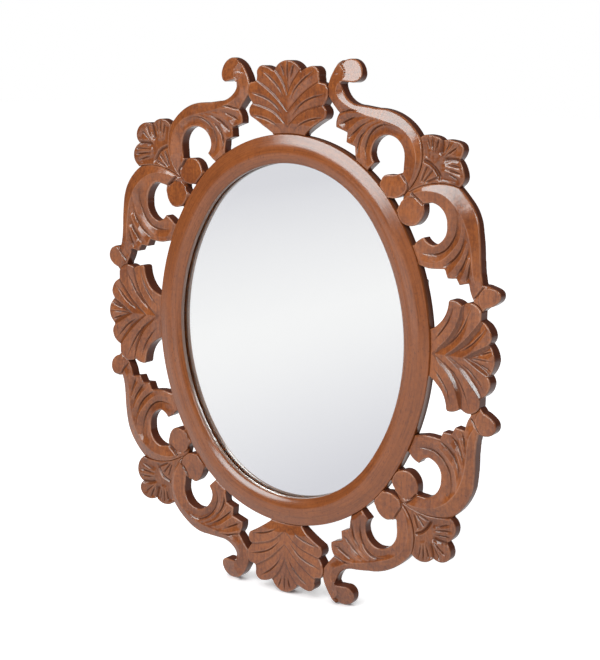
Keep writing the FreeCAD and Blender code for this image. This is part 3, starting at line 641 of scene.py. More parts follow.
# Drop of a stem at both ends, and how far outside the rim a leaf's last ridge would lie, in millimetres
STEM_END_DROP = 1.6
RIM_TO_RIDGE = 2.5

# Distance from a vein where its hollow has run out, and the width over which it does, in millimetres
HOLLOW_REACH = 13.0
HOLLOW_FADE = 6.0
FAR_AWAY = 99.0

# Lengths and height of the waves that the gouge leaves, in millimetres
GOUGE_WAVES = (26.0, 15.0, 9.0, 6.0)
GOUGE_DEPTH = 0.12

# How far a point stands out where rubbing starts, and how much farther where it is full, in millimetres
WEAR_START = 0.04
WEAR_RANGE = 0.15

# Rise of a piece per length away from the ring
FOOT_SLOPE = 0.34

# Shares of the grid's spacing: reach of the pull onto a stroke, and width of the rim that is not pulled
PULL_REACH = 0.48
RIM_KEPT = 1.2

# Share of the board's thickness above which a point belongs to the front
ON_FRONT = 0.98


def sawn_blank(node, name, sizes):
    """Board sawn to the outline of a solid's flat back; gives the board and the outline's segments."""
    blank = copy_of_solid(node, name)
    mesh = blank.data
    for face in mesh.polygons:
        face.select = not (face.normal.y > SQUARE_ON and abs(face.center.y - BACK) < ON_PLANE)
    bpy.ops.object.mode_set(mode="EDIT")
    bpy.ops.mesh.delete(type="FACE")
    done_editing()
    uses = {}
    for face in mesh.polygons:
        for key in face.edge_keys:
            uses[key] = uses.get(key, 0) + 1
    rim = [key for key, count in uses.items() if count == 1]
    if not rim:
        raise RuntimeError(f"{node} has no flat back to saw from")
    flat = points_of(blank)[:, [0, 2]] / MM
    starts = np.array([flat[start] for start, _ in rim])
    ends = np.array([flat[end] for _, end in rim])
    edit(blank)
    bpy.ops.mesh.extrude_region_move(TRANSFORM_OT_translate={"value": (0, -sizes.board, 0)})
    face_outward()
    done_editing()
    apply_modifier(blank, "REMESH", mode="VOXEL", voxel_size=sizes.grid, adaptivity=0.0)
    return blank, starts, ends


def uneven(spots, seed):
    """Slow rise and fall of a hand cut surface, from about -1 to 1."""
    draw = np.random.default_rng(seed)
    total = np.zeros(len(spots))
    for wave in GOUGE_WAVES:
        for _ in range(3):
            angle, phase = draw.uniform(0, 2 * math.pi, 2)
            way = [math.cos(angle), math.sin(angle)]
            total += np.sin((spots @ way) * 2 * math.pi / wave + phase) * wave / GOUGE_WAVES[0]
    return total / 5.0


def folded_about(spots, fold):
    folded = spots.copy()
    if fold == "across":
        folded[:, 0] = np.abs(folded[:, 0])
    if fold == "upward":
        folded[:, 1] = np.abs(folded[:, 1])
    return folded


def drawn_onto_strokes(spots, drawing, sizes):
    """Pull the points beside a stroke onto it, so that ridges and cuts come out sharp."""
    folded = folded_about(spots, drawing.fold)
    flip = np.where(spots * folded < 0, -1.0, 1.0)
    best = np.full(len(spots), PULL_REACH * sizes.grid / MM)
    pulled = folded.copy()
    for line in drawing.strokes():
        gap, _, _, foot = near_line(line, folded)
        closer = gap < best
        best[closer] = gap[closer]
        pulled[closer] = foot[closer]
    return pulled * flip


def stem_faces(drawing, spots, sizes):
    """Height of the faces beside a scroll's stem, the distance to it, and which points lie outside it."""
    gap, along, side, _ = near_line(drawing.stem, spots)
    share, left, right = drawing.steep.T
    left = np.interp(along, share, left)
    right = np.interp(along, share, right)
    crest = sizes.ridge / MM - STEM_END_DROP * (1 - fading(along, STEM_END, STEM_END))
    outer = crest - left * gap
    inner = np.maximum(crest - right * gap, sizes.leaf / MM)
    return np.where(side > 0, outer, inner), gap, side > 0


def vein_cuts(drawing, folded, sizes):
    """Depth of the veins, the dark stain and painted shade in them, the distance to the nearest, and how full
    its hollow is there.
    """
    depth = np.zeros(len(folded))
    stain = np.zeros(len(folded))
    nearest_gap = np.full(len(folded), FAR_AWAY)
    fullness = np.zeros(len(folded))
    for line in drawing.veins:
        gap, along, _, _ = near_line(line, folded)
        full = fading(along, VEIN_START, VEIN_END)
        fullness = np.where(gap < nearest_gap, np.clip(along / VEIN_START, 0, 1), fullness)
        nearest_gap = np.minimum(nearest_gap, gap)
        half_width = sizes.vein_cut / MM * (0.35 + 0.65 * full)
        cut = full * np.clip(1 - gap / half_width, 0, None)
        depth = np.maximum(depth, sizes.vein_depth / MM * cut)
        # Dark stain with painted shade along the cut, darkest at its bottom
        stain = np.maximum(stain, np.sqrt(cut))
    return depth, stain, nearest_gap, fullness


def single_cuts(drawing, folded):
    """Depth of the single cuts, and the dark stain and painted shade in them."""
    depth = np.zeros(len(folded))
    stain = np.zeros(len(folded))
    for line, half_width, deepest in drawing.cuts:
        gap, along, _, _ = near_line(line, folded)
        cut = fading(along, CUT_START, CUT_END) * np.clip(1 - gap / half_width, 0, None)
        depth = np.maximum(depth, deepest * cut)
        # Dark stain with painted shade along the cut
        stain = np.maximum(stain, cut)
    return depth, stain


def shingle_steps(drawing, folded, sizes):
    """Depth of the steps from each lobe down to the next, narrow at the spine and at the rim, and the painted
    shade on each bevel and in the crease at its foot.
    """
    depth = np.zeros(len(folded))
    stain = np.zeros(len(folded))
    for line in drawing.ridges:
        gap, along, side, _ = near_line(line, folded)
        share = abs(drawing.step) * np.interp(along, STEP_PLACES, STEP_SHARES)
        wide = sizes.step_width / MM * share
        deep = sizes.step_depth / MM * share
        cut = deep * np.minimum(gap / wide, np.clip(1 - (gap - wide) / (sizes.step_rise / MM), 0, 1))
        below = side * drawing.step > 0
        depth = np.maximum(depth, np.where(below, cut, 0.0))
        # Painted shade on the bevel below the ridge and in the crease at its foot
        foot = np.clip(1 - np.abs(gap - 1.1 * wide) / (0.3 + share), 0, 1)
        dark = np.maximum(0.5 * np.clip(1.5 - gap / wide, 0, 1), 0.95 * foot)
        stain = np.maximum(stain, np.where(below, dark, 0.0))
    return depth, stain


def lobe_hollows(drawing, folded, ridge_gap, vein_gap, vein_full, sizes):
    """Depth of the hollows between the ridges and the veins of a leaf, and the painted shade in them."""
    for line in drawing.ridges:
        ridge_gap = np.minimum(ridge_gap, near_line(line, folded)[0])
    spacing = vein_gap + ridge_gap
    depth = np.minimum(sizes.lobe_depth / MM, drawing.slope * spacing) * (1 - vein_gap / spacing)
    depth *= np.clip((HOLLOW_REACH - vein_gap) / HOLLOW_FADE, 0, 1) * (0.3 + 0.7 * vein_full)
    # Painted shade, growing with the depth of the hollow
    return depth, 0.5 * (depth * MM / sizes.lobe_depth) ** 2


def carved_height(drawing, spots, rim_gap, base, sizes):
    """Height of the carved front and the stain on it, with painted shade in the cuts, hollows and bevels, in
    millimetres and from 0 to 1.
    """
    folded = folded_about(spots, drawing.fold)
    height = np.full(len(spots), base)
    ridge_gap = rim_gap + RIM_TO_RIDGE
    outside = np.zeros(len(spots), bool)
    if drawing.stem is not None:
        height, stem_gap, outside = stem_faces(drawing, spots, sizes)
        ridge_gap = np.minimum(ridge_gap, stem_gap)
    vein_depth, vein_stain_and_shade, vein_gap, vein_full = vein_cuts(drawing, folded, sizes)
    cut_depth, cut_stain_and_shade = single_cuts(drawing, folded)
    fine = np.maximum(vein_depth, cut_depth)
    # Dark stain and painted shade in the cuts
    stain = np.maximum(np.maximum(vein_stain_and_shade, cut_stain_and_shade), drawing.shade)
    if drawing.step:
        hollow, hollow_painted_shade = shingle_steps(drawing, folded, sizes)
    else:
        hollow, hollow_painted_shade = lobe_hollows(drawing, folded, ridge_gap, vein_gap, vein_full, sizes)
        hollow = np.where(outside, 0.0, hollow)
        hollow_painted_shade = np.where(outside, 0.0, hollow_painted_shade)
    # Painted shade in the hollows and on the bevels joins the stain
    stain = np.maximum(stain, hollow_painted_shade)
    height = height - hollow - fine
    height = np.minimum(height, sizes.foot / MM + FOOT_SLOPE * np.clip(oval_gap(spots), 0, None))
    for disc in drawing.discs:
        across = spots[:, 0] - disc.across
        up = spots[:, 1] - disc.up
        on_disc = np.hypot(across, up) < disc.radius
        if not disc.whole:
            on_disc &= outside
        flat = disc.height - disc.fall_across * across - disc.fall_up * up - fine
        height = np.where(on_disc, flat, height)
    return height, stain


def carve(blank, starts, ends, drawing, base, sizes, seed):
    """Cut the front of a board to the drawing, and note stain with painted shade, wear and sides on its
    points.
    """
    places = points_of(blank)
    rise = np.clip((BACK - places[:, 1]) / sizes.board, 0.0, 1.0)
    spots = places[:, [0, 2]] / MM
    rim_gap = nearest(starts, ends, spots)[0]
    inside = (rise > ON_FRONT) & (rim_gap > RIM_KEPT * sizes.grid / MM)
    spots[inside] = drawn_onto_strokes(spots[inside], drawing, sizes)

    height, stain = carved_height(drawing, spots, rim_gap, base, sizes)
    height = height + GOUGE_DEPTH * uneven(spots, seed)
    eased = np.clip(1 - rim_gap / (sizes.eased_edge / MM), 0, 1)
    height = height - sizes.eased_drop / MM * eased ** 1.5
    places[:, 0] = spots[:, 0] * MM
    places[:, 1] = BACK - rise * height * MM
    places[:, 2] = spots[:, 1] * MM
    set_points(blank, places)

    facing = normals_of(blank)[:, 1]
    # Stain together with painted shade in the cuts, hollows and bevels
    note_on_points(blank, "stain", np.where(rise > 0.5, stain, 0.0))
    note_on_points(blank, "wear", convexity(blank))
    # Sides, by how far they turn away from the front; their darker colour is partly painted shade
    note_on_points(blank, "sawn", np.clip(1.15 - 2.2 * np.abs(facing), 0, 1))
    note_on_points(blank, "rear", np.clip(facing * 4 - 3, 0, 1))


def convexity(piece):
    """How far each point stands out from the points around it: 0 in hollows and flats, 1 on sharp ridges."""
    places = points_of(piece)
    pairs = np.empty(len(piece.data.edges) * 2, dtype=np.int64)
    piece.data.edges.foreach_get("vertices", pairs)
    first, second = pairs.reshape(-1, 2).T
    count = np.bincount(first, minlength=len(places)) + np.bincount(second, minlength=len(places))
    count = np.maximum(count, 1)[:, None]
    smooth = places
    for _ in range(3):
        total = np.zeros_like(places)
        np.add.at(total, first, smooth[second])
        np.add.at(total, second, smooth[first])
        smooth = total / count
    out = ((places - smooth) * normals_of(piece)).sum(1) / MM
    return np.clip((out - WEAR_START) / WEAR_RANGE, 0, 1)


def by_hand(piece):
    """Move an ornament where the carver's hand did."""
    places = points_of(piece)
    spots = places[:, [0, 2]] / MM
    moved = spots.copy()
    for across, up, move_across, move_up, reach in HAND_SHIFTS:
        share = np.exp(-((spots[:, 0] - across) ** 2 + (spots[:, 1] - up) ** 2) / reach ** 2)
        moved += share[:, None] * [move_across, move_up]
    places[:, [0, 2]] = moved * MM
    set_points(piece, places)


# Materials

LACQUER_SHINE = 0.75
COOL_GLINT = (0.82, 0.97, 1.0)
GRAIN_DEPTH = 0.4 * MM


class Look:
    """The nodes of one material, added and linked in a few words."""

    def __init__(self, name):
        self.material = bpy.data.materials.new(name)
        self.material.use_nodes = True
        self.tree = self.material.node_tree
        self.shader = self.tree.nodes["Principled BSDF"]

    def add(self, kind, inputs=None, **settings):
        node = self.tree.nodes.new(kind)
        for key, value in settings.items():
            setattr(node, key, value)
        for key, value in (inputs or {}).items():
            self.feed(value, node.inputs[key])
        return node

    def feed(self, value, socket):
        if isinstance(value, bpy.types.NodeSocket):
            self.tree.links.new(value, socket)
        else:
            socket.default_value = value

    def math(self, operation, first, second):
        return self.add("ShaderNodeMath", {0: first, 1: second}, operation=operation).outputs[0]

    def times(self, first, second):
        return self.math("MULTIPLY", first, second)

    def plus(self, first, second):
        return self.math("ADD", first, second)

    def minus(self, first, second):
        return self.math("SUBTRACT", first, second)

    def larger(self, first, second):
        return self.math("MAXIMUM", first, second)

    def mix(self, share, first, second):
        inputs = {"Factor": share, "A": first, "B": second}
        return self.add("ShaderNodeMix", inputs, data_type="RGBA").outputs["Result"]

    def ramp(self, value, low, high):
        inputs = {"Value": value, "From Min": low, "From Max": high}
        return self.add("ShaderNodeMapRange", inputs, clamp=True).outputs["Result"]

    def note(self, name):
        return self.add("ShaderNodeAttribute", attribute_name=name).outputs["Fac"]

    def places(self, scale=(1, 1, 1)):
        place = self.add("ShaderNodeTexCoord").outputs["Object"]
        return self.add("ShaderNodeMapping", {"Vector": place, "Scale": scale}).outputs["Vector"]

    def axis(self, places, name):
        return self.add("ShaderNodeSeparateXYZ", {"Vector": places}).outputs[name]

    def noise(self, places, scale, detail=3.0, roughness=0.55):
        inputs = {"Vector": places, "Scale": scale, "Detail": detail, "Roughness": roughness}
        return self.add("ShaderNodeTexNoise", inputs).outputs["Fac"]

    def bump(self, height, strength, distance):
        node = self.add("ShaderNodeBump", {"Strength": strength, "Distance": distance, "Height": height})
        self.tree.links.new(node.outputs["Normal"], self.shader.inputs["Normal"])

    def set(self, **values):
        for key, value in values.items():
            self.feed(value, self.shader.inputs[key.replace("_", " ")])
        return self.material


def rgba(values, share=1.0):
    """A colour, or a darker or paler share of it."""
    return (*(value * share for value in values), 1.0)


def stained_wood(name, colours, grain, mottled, relief):
    """Brown stained wood; gives its look, its colour, its roughness and the clouds in the stain.

    grain: gives the stretched places that the streaks follow
    mottled: how far the stain lies in patches, from 0 to 1
    relief: strength of the grain's relief
    """
    look = Look(name)
    streaks = look.noise(grain(look), scale=1.0, detail=5.0, roughness=0.62)
    clouds = look.noise(look.places(), scale=34.0, detail=4.0)
    patches = look.noise(look.places(), scale=260.0)
    specks = look.ramp(look.noise(look.places((1, 1, 0.45)), scale=620.0, detail=2.0), 0.60, 0.72)
    patchy = look.ramp(look.plus(clouds, patches), 0.78, 1.22)
    warm = look.plus(look.times(patchy, mottled), 0.5 - 0.5 * mottled)
    wood = look.mix(warm, rgba(colours.stain), rgba(colours.stain_warm))
    wood = look.mix(look.times(look.ramp(streaks, 0.44, 0.74), 0.5), wood, rgba(colours.deep_stain_and_shade))
    wood = look.mix(look.times(specks, 0.45), wood, rgba(colours.deep_stain_and_shade))
    look.bump(look.plus(look.times(streaks, 0.6), look.times(specks, -0.5)), relief, GRAIN_DEPTH)
    rough = look.plus(look.times(clouds, 0.16), 0.12)
    return look, wood, rough, clouds


def lacquered(look, wood, rough, dull, matt):
    """Lacquer over the wood, rougher where it is dull, and without its shine where it is matt."""
    rough = look.plus(rough, look.times(dull, 0.4))
    shine = look.times(look.minus(1.0, matt), LACQUER_SHINE)
    look.set(Base_Color=wood, Roughness=rough, Specular_Tint=rgba(COOL_GLINT))
    # The plain shine stays on the socket for an export that drops the linked one
    look.set(Specular_IOR_Level=LACQUER_SHINE)
    return look.set(Specular_IOR_Level=shine)


def carved_wood_material(colours):
    def down_the_board(look):
        return look.places((420.0, 420.0, 38.0))

    look, wood, rough, clouds = stained_wood(
        "Carved wood", colours, down_the_board, mottled=1.0, relief=0.16)
    stain = look.note("stain")
    sawn = look.note("sawn")
    rear = look.note("rear")
    rubbed = look.times(look.note("wear"), look.ramp(clouds, 0.32, 0.62))
    wood = look.mix(look.times(rubbed, 0.5), wood, rgba(colours.worn))
    # Dark stain in the cuts, with painted shade in them and in the hollows and bevels
    wood = look.mix(look.times(stain, 0.9), wood, rgba(colours.deep_stain_and_shade))
    # The sides of the border are darkened, partly as painted shade
    wood = look.mix(look.times(sawn, look.ramp(clouds, 0.0, 0.35)), wood, rgba(colours.sawn))
    wood = look.mix(look.times(rear, 0.65), wood, rgba(colours.sawn))
    dull = look.larger(look.ramp(stain, 0.55, 1.0), rear)
    matt = look.larger(look.math("POWER", stain, 2.0), look.larger(sawn, rear))
    return lacquered(look, wood, rough, dull, look.times(matt, 0.85))


def ring_wood_material(colours):
    def along_the_ring(look):
        places = look.places()
        return look.add("ShaderNodeCombineXYZ", {
            "X": look.times(look.axis(places, "X"), 24.0),
            "Y": look.times(look.note("across"), 700.0),
            "Z": look.times(look.axis(places, "Z"), 24.0),
        }).outputs["Vector"]

    look, wood, rough, _ = stained_wood("Ring wood", colours, along_the_ring, mottled=0.4, relief=0.12)
    sawn = look.note("sawn")
    rear = look.note("rear")
    wood = look.mix(sawn, wood, rgba(colours.sawn, 0.2))
    wood = look.mix(look.times(look.note("lip"), 0.7), wood, rgba(colours.lip))
    wood = look.mix(look.times(rear, 0.65), wood, rgba(colours.sawn))
    dull = look.larger(sawn, rear)
    return lacquered(look, wood, rough, dull, dull)


def glass_material():
    look = Look("Float glass")
    wipe = look.noise(look.places((1, 1, 2.5)), scale=14.0)
    rough = look.times(look.ramp(wipe, 0.62, 0.9), 0.012)
    tint = look.mix(look.ramp(wipe, 0.2, 0.8), rgba((0.982, 0.99, 0.987)), rgba((0.986, 0.992, 0.99)))
    return look.set(Base_Color=tint, Roughness=rough, Transmission_Weight=1.0, IOR=1.5)


def silver_material():
    look = Look("Silver coat")
    clouds = look.noise(look.places(), scale=6.0, detail=2.0)
    silver = look.mix(clouds, rgba((0.955, 0.957, 0.96)), rgba((0.965, 0.965, 0.966)))
    rough = look.times(look.ramp(clouds, 0.55, 0.9), 0.01)
    return look.set(Base_Color=silver, Roughness=rough, Metallic=1.0)


def metal_material(name, tint, brushed, roughness):
    """Plated metal with fine brush lines, stretched by the given scale, and dull spots."""
    look = Look(name)
    lines = look.noise(look.places(brushed), scale=1.0, roughness=0.6)
    spots = look.ramp(look.noise(look.places(), scale=260.0), 0.58, 0.75)
    metal = look.mix(look.times(lines, 0.6), rgba(tint), rgba(tint, 0.62))
    metal = look.mix(look.times(spots, 0.35), metal, rgba(tint, 0.4))
    rough = look.plus(look.times(lines, 0.18), look.plus(look.times(spots, 0.2), roughness))
    look.bump(lines, 0.08, 0.2 * MM)
    return look.set(Base_Color=metal, Roughness=rough, Metallic=1.0)


def hardboard_material(colours):
    look = Look("Hardboard")
    fibres = look.noise(look.places((180.0, 180.0, 900.0)), scale=1.0, detail=6.0, roughness=0.7)
    flakes = look.noise(look.places(), scale=130.0, detail=5.0, roughness=0.65)
    felt = look.plus(fibres, flakes)
    tone = look.mix(look.ramp(felt, 0.7, 1.3), rgba(colours.hardboard), rgba(colours.hardboard, 1.55))
    look.bump(felt, 0.35, 0.4 * MM)
    return look.set(Base_Color=tone, Roughness=look.plus(look.times(flakes, 0.2), 0.62))


def beech_material(colours):
    look = Look("Beech")
    grain = look.noise(look.places((500.0, 500.0, 60.0)), scale=1.0, detail=5.0, roughness=0.6)
    tone = look.mix(look.ramp(grain, 0.35, 0.7), rgba(colours.beech), rgba(colours.beech, 0.62))
    look.bump(grain, 0.15, 0.3 * MM)
    return look.set(Base_Color=tone, Roughness=look.plus(look.times(grain, 0.2), 0.5))


def rubber_material(colours):
    look = Look("Pad rubber")
    dust = look.noise(look.places(), scale=300.0, detail=4.0, roughness=0.7)
    tone = look.mix(look.ramp(dust, 0.5, 0.85), rgba(colours.rubber), rgba(colours.rubber, 3.0))
    look.bump(dust, 0.3, 0.3 * MM)
    return look.set(Base_Color=tone, Roughness=look.plus(look.times(dust, 0.2), 0.68))


def dress(nodes, material):
    """Give solids that keep their shape a finished material."""
    for node in nodes:
        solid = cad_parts[node]
        if not solid.material_slots:
            solid.data.materials.append(material)
        for slot in solid.material_slots:
            slot.material = material


# Operators for the pieces

class OVAL_MIRROR_OT_ring(bpy.types.Operator):
    """Spin the four arcs of the ring"""
    bl_idname = "oval_mirror.ring"
    bl_label = "Ring"

    def execute(self, context):
        sizes = context.scene.mirror_ring
        material = ring_wood_material(context.scene.mirror_colours)
        joint = RING_ARCS["joint"]
        top_middle = Vector((0, 0, RING_ARCS["top_centre"] * MM))
        left_middle = Vector((RING_ARCS["side_centre"] * MM, 0, 0))
        top_reach = RING_ARCS["top_reach"] * MM
        side_reach = RING_ARCS["side_reach"] * MM
        half_turn = math.pi
        for node, middle, reach, first, last in (
            ("ring_top", top_middle, top_reach, joint, half_turn - joint),
            ("ring_left", left_middle, side_reach, half_turn - joint, half_turn + joint),
            ("ring_bottom", -top_middle, top_reach, half_turn + joint, 2 * half_turn - joint),
            ("ring_right", -left_middle, side_reach, -joint, joint),
        ):
            stave = ring_stave(node, middle, reach, first, last, sizes)
            place_piece(stave, node, material)
            only(stave)
            bpy.ops.object.shade_smooth_by_angle(angle=math.radians(32))
        return {"FINISHED"}


def carved_material(context):
    """The carved wood, made once and shared."""
    return bpy.data.materials.get("Carved wood") or carved_wood_material(context.scene.mirror_colours)


def carve_and_mirror(context, node, copies, drawing, base, seed):
    """Carve one ornament, mirror it to its other places, and finish them all."""
    sizes = context.scene.mirror_carving
    blank, starts, ends = sawn_blank(node, node + "_carving", sizes)
    carve(blank, starts, ends, drawing, base / MM, sizes, seed)
    pieces = {node: blank}
    for copy_node, across, upward in copies:
        pieces[copy_node] = flipped_copy(blank, copy_node + "_carving", across, upward)
    for piece_node, piece in pieces.items():
        by_hand(piece)
        place_piece(piece, piece_node, carved_material(context))


def carve_quarters(context, kind, drawing, base, seed):
    """Carve the upper right ornament and mirror it into the other corners."""
    corners = [(f"{kind}_{corner}", across, upward) for corner, across, upward in QUARTERS]
    carve_and_mirror(context, corners[0][0], corners[1:], drawing, base, seed)


class OVAL_MIRROR_OT_palmettes(bpy.types.Operator):
    """Carve the palmettes at the top, bottom and sides"""
    bl_idname = "oval_mirror.palmettes"
    bl_label = "Palmettes"

    def execute(self, context):
        height = context.scene.mirror_carving.palmette
        below = ("palmette_bottom", 1, -1)
        beside = ("palmette_left", -1, 1)
        carve_and_mirror(context, "palmette_top", [below], PALMETTE_TOP, height, seed=3)
        carve_and_mirror(context, "palmette_right", [beside], PALMETTE_RIGHT, height, seed=4)
        return {"FINISHED"}


class OVAL_MIRROR_OT_crest_scrolls(bpy.types.Operator):
    """Carve the scrolls beside the top and bottom palmettes"""
    bl_idname = "oval_mirror.crest_scrolls"
    bl_label = "Crest scrolls"

    def execute(self, context):
        carve_quarters(context, "crest_scroll", CREST_SCROLL, context.scene.mirror_carving.leaf, seed=5)
        return {"FINISHED"}


class OVAL_MIRROR_OT_side_scrolls(bpy.types.Operator):
    """Carve the scrolls beside the left and right palmettes"""
    bl_idname = "oval_mirror.side_scrolls"
    bl_label = "Side scrolls"

    def execute(self, context):
        carve_quarters(context, "side_scroll", SIDE_SCROLL, context.scene.mirror_carving.leaf, seed=6)
        return {"FINISHED"}


class OVAL_MIRROR_OT_shells(bpy.types.Operator):
    """Carve the shells in the corners"""
    bl_idname = "oval_mirror.shells"
    bl_label = "Shells"

    def execute(self, context):
        carve_quarters(context, "shell", SHELL, context.scene.mirror_carving.shell, seed=7)
        return {"FINISHED"}


FILM_PRESS = 0.05 * MM


def silver_film():
    """The coat, pressed a little into the glass so that no air shows between them."""
    film = copy_of_solid("silver_coat", "silver_film")
    front = min(point.co.y for point in film.data.vertices)
    for face in film.data.polygons:
        face.select = face.normal.y < -SQUARE_ON and abs(face.center.y - front) < ON_PLANE
    bpy.ops.object.mode_set(mode="EDIT")
    bpy.ops.transform.translate(value=(0, -FILM_PRESS, 0))
    done_editing()
    return film


class OVAL_MIRROR_OT_glass(bpy.types.Operator):
    """Finish the glass, its silver coat and the backing board"""
    bl_idname = "oval_mirror.glass"
    bl_label = "Glass and back"

    def execute(self, context):
        colours = context.scene.mirror_colours
        dress(["mirror_glass"], glass_material())
        silver = silver_film()
        place_piece(silver, "silver_coat", silver_material())
        only(silver)
        bpy.ops.object.shade_flat()
        dress(["backing_board"], hardboard_material(colours))
        dress(["ring_tongues", "border_dowels", "shell_pins"], beech_material(colours))
        return {"FINISHED"}


class OVAL_MIRROR_OT_fittings(bpy.types.Operator):
    """Finish the turn buttons, screws, hangers and pads"""
    bl_idname = "oval_mirror.fittings"
    bl_label = "Fittings"

    def execute(self, context):
        colours = context.scene.mirror_colours
        buttons = [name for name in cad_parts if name.startswith("turn_button")]
        hangers = [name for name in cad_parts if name.startswith(("hanger_strap", "hanger_ring"))]
        screws = ["button_screws", "hanger_screws"]
        dress(buttons, metal_material("Button brass", colours.brass, (900.0, 900.0, 120.0), 0.22))
        dress(hangers, metal_material("Hanger zinc", colours.zinc, (1200.0, 1200.0, 140.0), 0.26))
        dress(screws, metal_material("Screw zinc", colours.zinc, (1500.0, 1500.0, 1500.0), 0.3))
        dress(["wall_pads"], rubber_material(colours))
        return {"FINISHED"}


# Stage

Lamp = namedtuple("Lamp", "place target long_way length width")

KEY_LAMP = Lamp((-0.666, -2.486, 1.895), (0.11, 0, 0.25), long_way=(0.84, 0, -0.54), length=2.7, width=1.26)
SIDE_LAMP = Lamp((1.35, -1.65, 1.1), (0.15, 0, 0.1), long_way=(0.66, 0, -0.75), length=1.0, width=0.36)
LOW_LAMP = Lamp((-0.25, -2.0, -0.08), (0, 0, 0), long_way=(1, 0, 0), length=1.4, width=0.8)

CAMERA_PLACE = (0.93434, -1.36122, 0.31115)
CAMERA_DEGREES = (79.3792, -0.4242, 34.3807)
SENSOR_WIDTH = 36.0

WHITE = (1, 1, 1, 1)
FLOOR_SIZE = 24.0
FLOOR_DROP = 0.6 * MM
SHADOW_REACH = 0.05
ROOM_IN_GLOSS = 0.1

# Pool of light on the floor as the glass sees it, by metres to the left of its edge: brightest in the middle,
# dimmer and a little bluer towards its start and its end
POOL_EDGE = 0.6
POOL_START = 0.8
POOL_MIDDLE = 1.65
POOL_END = 3.7
POOL_TOP = 0.915
POOL_DROP_TO_START = 0.265
POOL_DROP_TO_END = 0.205
POOL_BLUE = 0.24
POOL_LEVEL = 1.06


def pool_of_light(look, places):
    """Colour of the light on the floor, by the way to the left."""
    sideways = look.minus(POOL_EDGE, look.axis(places, "X"))
    to_start = look.math("POWER", look.ramp(sideways, POOL_MIDDLE, POOL_START), 2.0)
    to_end = look.ramp(sideways, POOL_MIDDLE, POOL_END)
    drop = look.plus(look.times(to_start, POOL_DROP_TO_START), look.times(to_end, POOL_DROP_TO_END))
    level = look.minus(POOL_TOP, drop)
    blue = look.times(level, look.plus(look.times(drop, POOL_BLUE), 1.0))
    return look.add("ShaderNodeCombineColor", {"Red": level, "Green": level, "Blue": blue}).outputs["Color"]


def floor_in_lacquer(look, places):
    """Strength of the floor in the gloss of the wood: more behind the mirror, less far away."""
    away = look.add("ShaderNodeVectorMath", {0: places}, operation="LENGTH").outputs["Value"]
    behind = look.ramp(look.axis(places, "Y"), 0.0, 0.8)
    near = look.plus(look.times(behind, 0.5), 0.9)
    fade = look.times(look.ramp(away, 1.0, 4.0), 0.75)
    return look.times(near, look.minus(1.0, fade))


def floor_material(settings):
    """Pale floor, white to the lens but for the shadows under the feet; gloss and glass see light on it."""
    look = Look("Floor")
    look.tree.nodes.remove(look.shader)
    speck = look.noise(look.places(), scale=40.0)
    lit = look.add("ShaderNodeBsdfDiffuse", {
        "Color": look.mix(look.times(speck, 0.05), rgba(settings.floor), WHITE),
    })
    seen = look.add("ShaderNodeLightPath").outputs
    under = look.add("ShaderNodeAmbientOcclusion", {"Distance": SHADOW_REACH}, samples=8).outputs["AO"]
    # The glow is dimmed by occlusion near the feet: a painted shadow
    glow_with_painted_shadow = look.times(look.math("POWER", under, 1.6), 0.97)
    glow = look.add("ShaderNodeEmission", {
        "Color": WHITE,
        "Strength": look.times(seen["Is Camera Ray"], glow_with_painted_shadow),
    })
    plain = look.add("ShaderNodeAddShader", {0: lit.outputs[0], 1: glow.outputs[0]})
    places = look.places()
    glass = seen["Is Transmission Ray"]
    in_lacquer = look.times(floor_in_lacquer(look, places), look.minus(1.0, glass))
    in_gloss = look.add("ShaderNodeEmission", {
        "Color": look.mix(glass, WHITE, pool_of_light(look, places)),
        "Strength": look.plus(look.times(glass, POOL_LEVEL), in_lacquer),
    })
    gloss = look.larger(seen["Is Glossy Ray"], glass)
    both = look.add("ShaderNodeMixShader", {0: gloss, 1: plain.outputs[0], 2: in_gloss.outputs[0]})
    look.tree.links.new(both.outputs[0], look.tree.nodes["Material Output"].inputs["Surface"])
    return look.material


def white_world(settings):
    """White to the lens and through the glass; a dim room for the gloss, a soft fill for the rest."""
    world = bpy.data.worlds.new("Studio")
    bpy.context.scene.world = world
    world.use_nodes = True
    tree = world.node_tree
    background = tree.nodes["Background"]
    background.inputs["Color"].default_value = WHITE
    path = tree.nodes.new("ShaderNodeLightPath")
    strength = None
    rays = (("Is Glossy Ray", ROOM_IN_GLOSS), ("Is Transmission Ray", 1.0), ("Is Camera Ray", 1.0))
    for kind, value in rays:
        choice = tree.nodes.new("ShaderNodeMix")
        tree.links.new(path.outputs[kind], choice.inputs["Factor"])
        choice.inputs["A"].default_value = settings.fill
        choice.inputs["B"].default_value = value
        if strength:
            tree.links.new(strength, choice.inputs["A"])
        strength = choice.outputs["Result"]
    tree.links.new(strength, background.inputs["Strength"])


def soft_box(name, lamp, watts):
    """Rectangular lamp that looks at its target, its long side along the given way."""
    light = bpy.data.lights.new(name, "AREA")
    light.shape = "RECTANGLE"
    light.size = lamp.length
    light.size_y = lamp.width
    light.energy = watts
    back = (Vector(lamp.place) - Vector(lamp.target)).normalized()
    side = (Vector(lamp.long_way) - Vector(lamp.long_way).dot(back) * back).normalized()
    box = bpy.data.objects.new(name, light)
    box.location = lamp.place
    box.rotation_euler = Matrix((side, back.cross(side), back)).transposed().to_euler()
    bpy.context.scene.collection.objects.link(box)


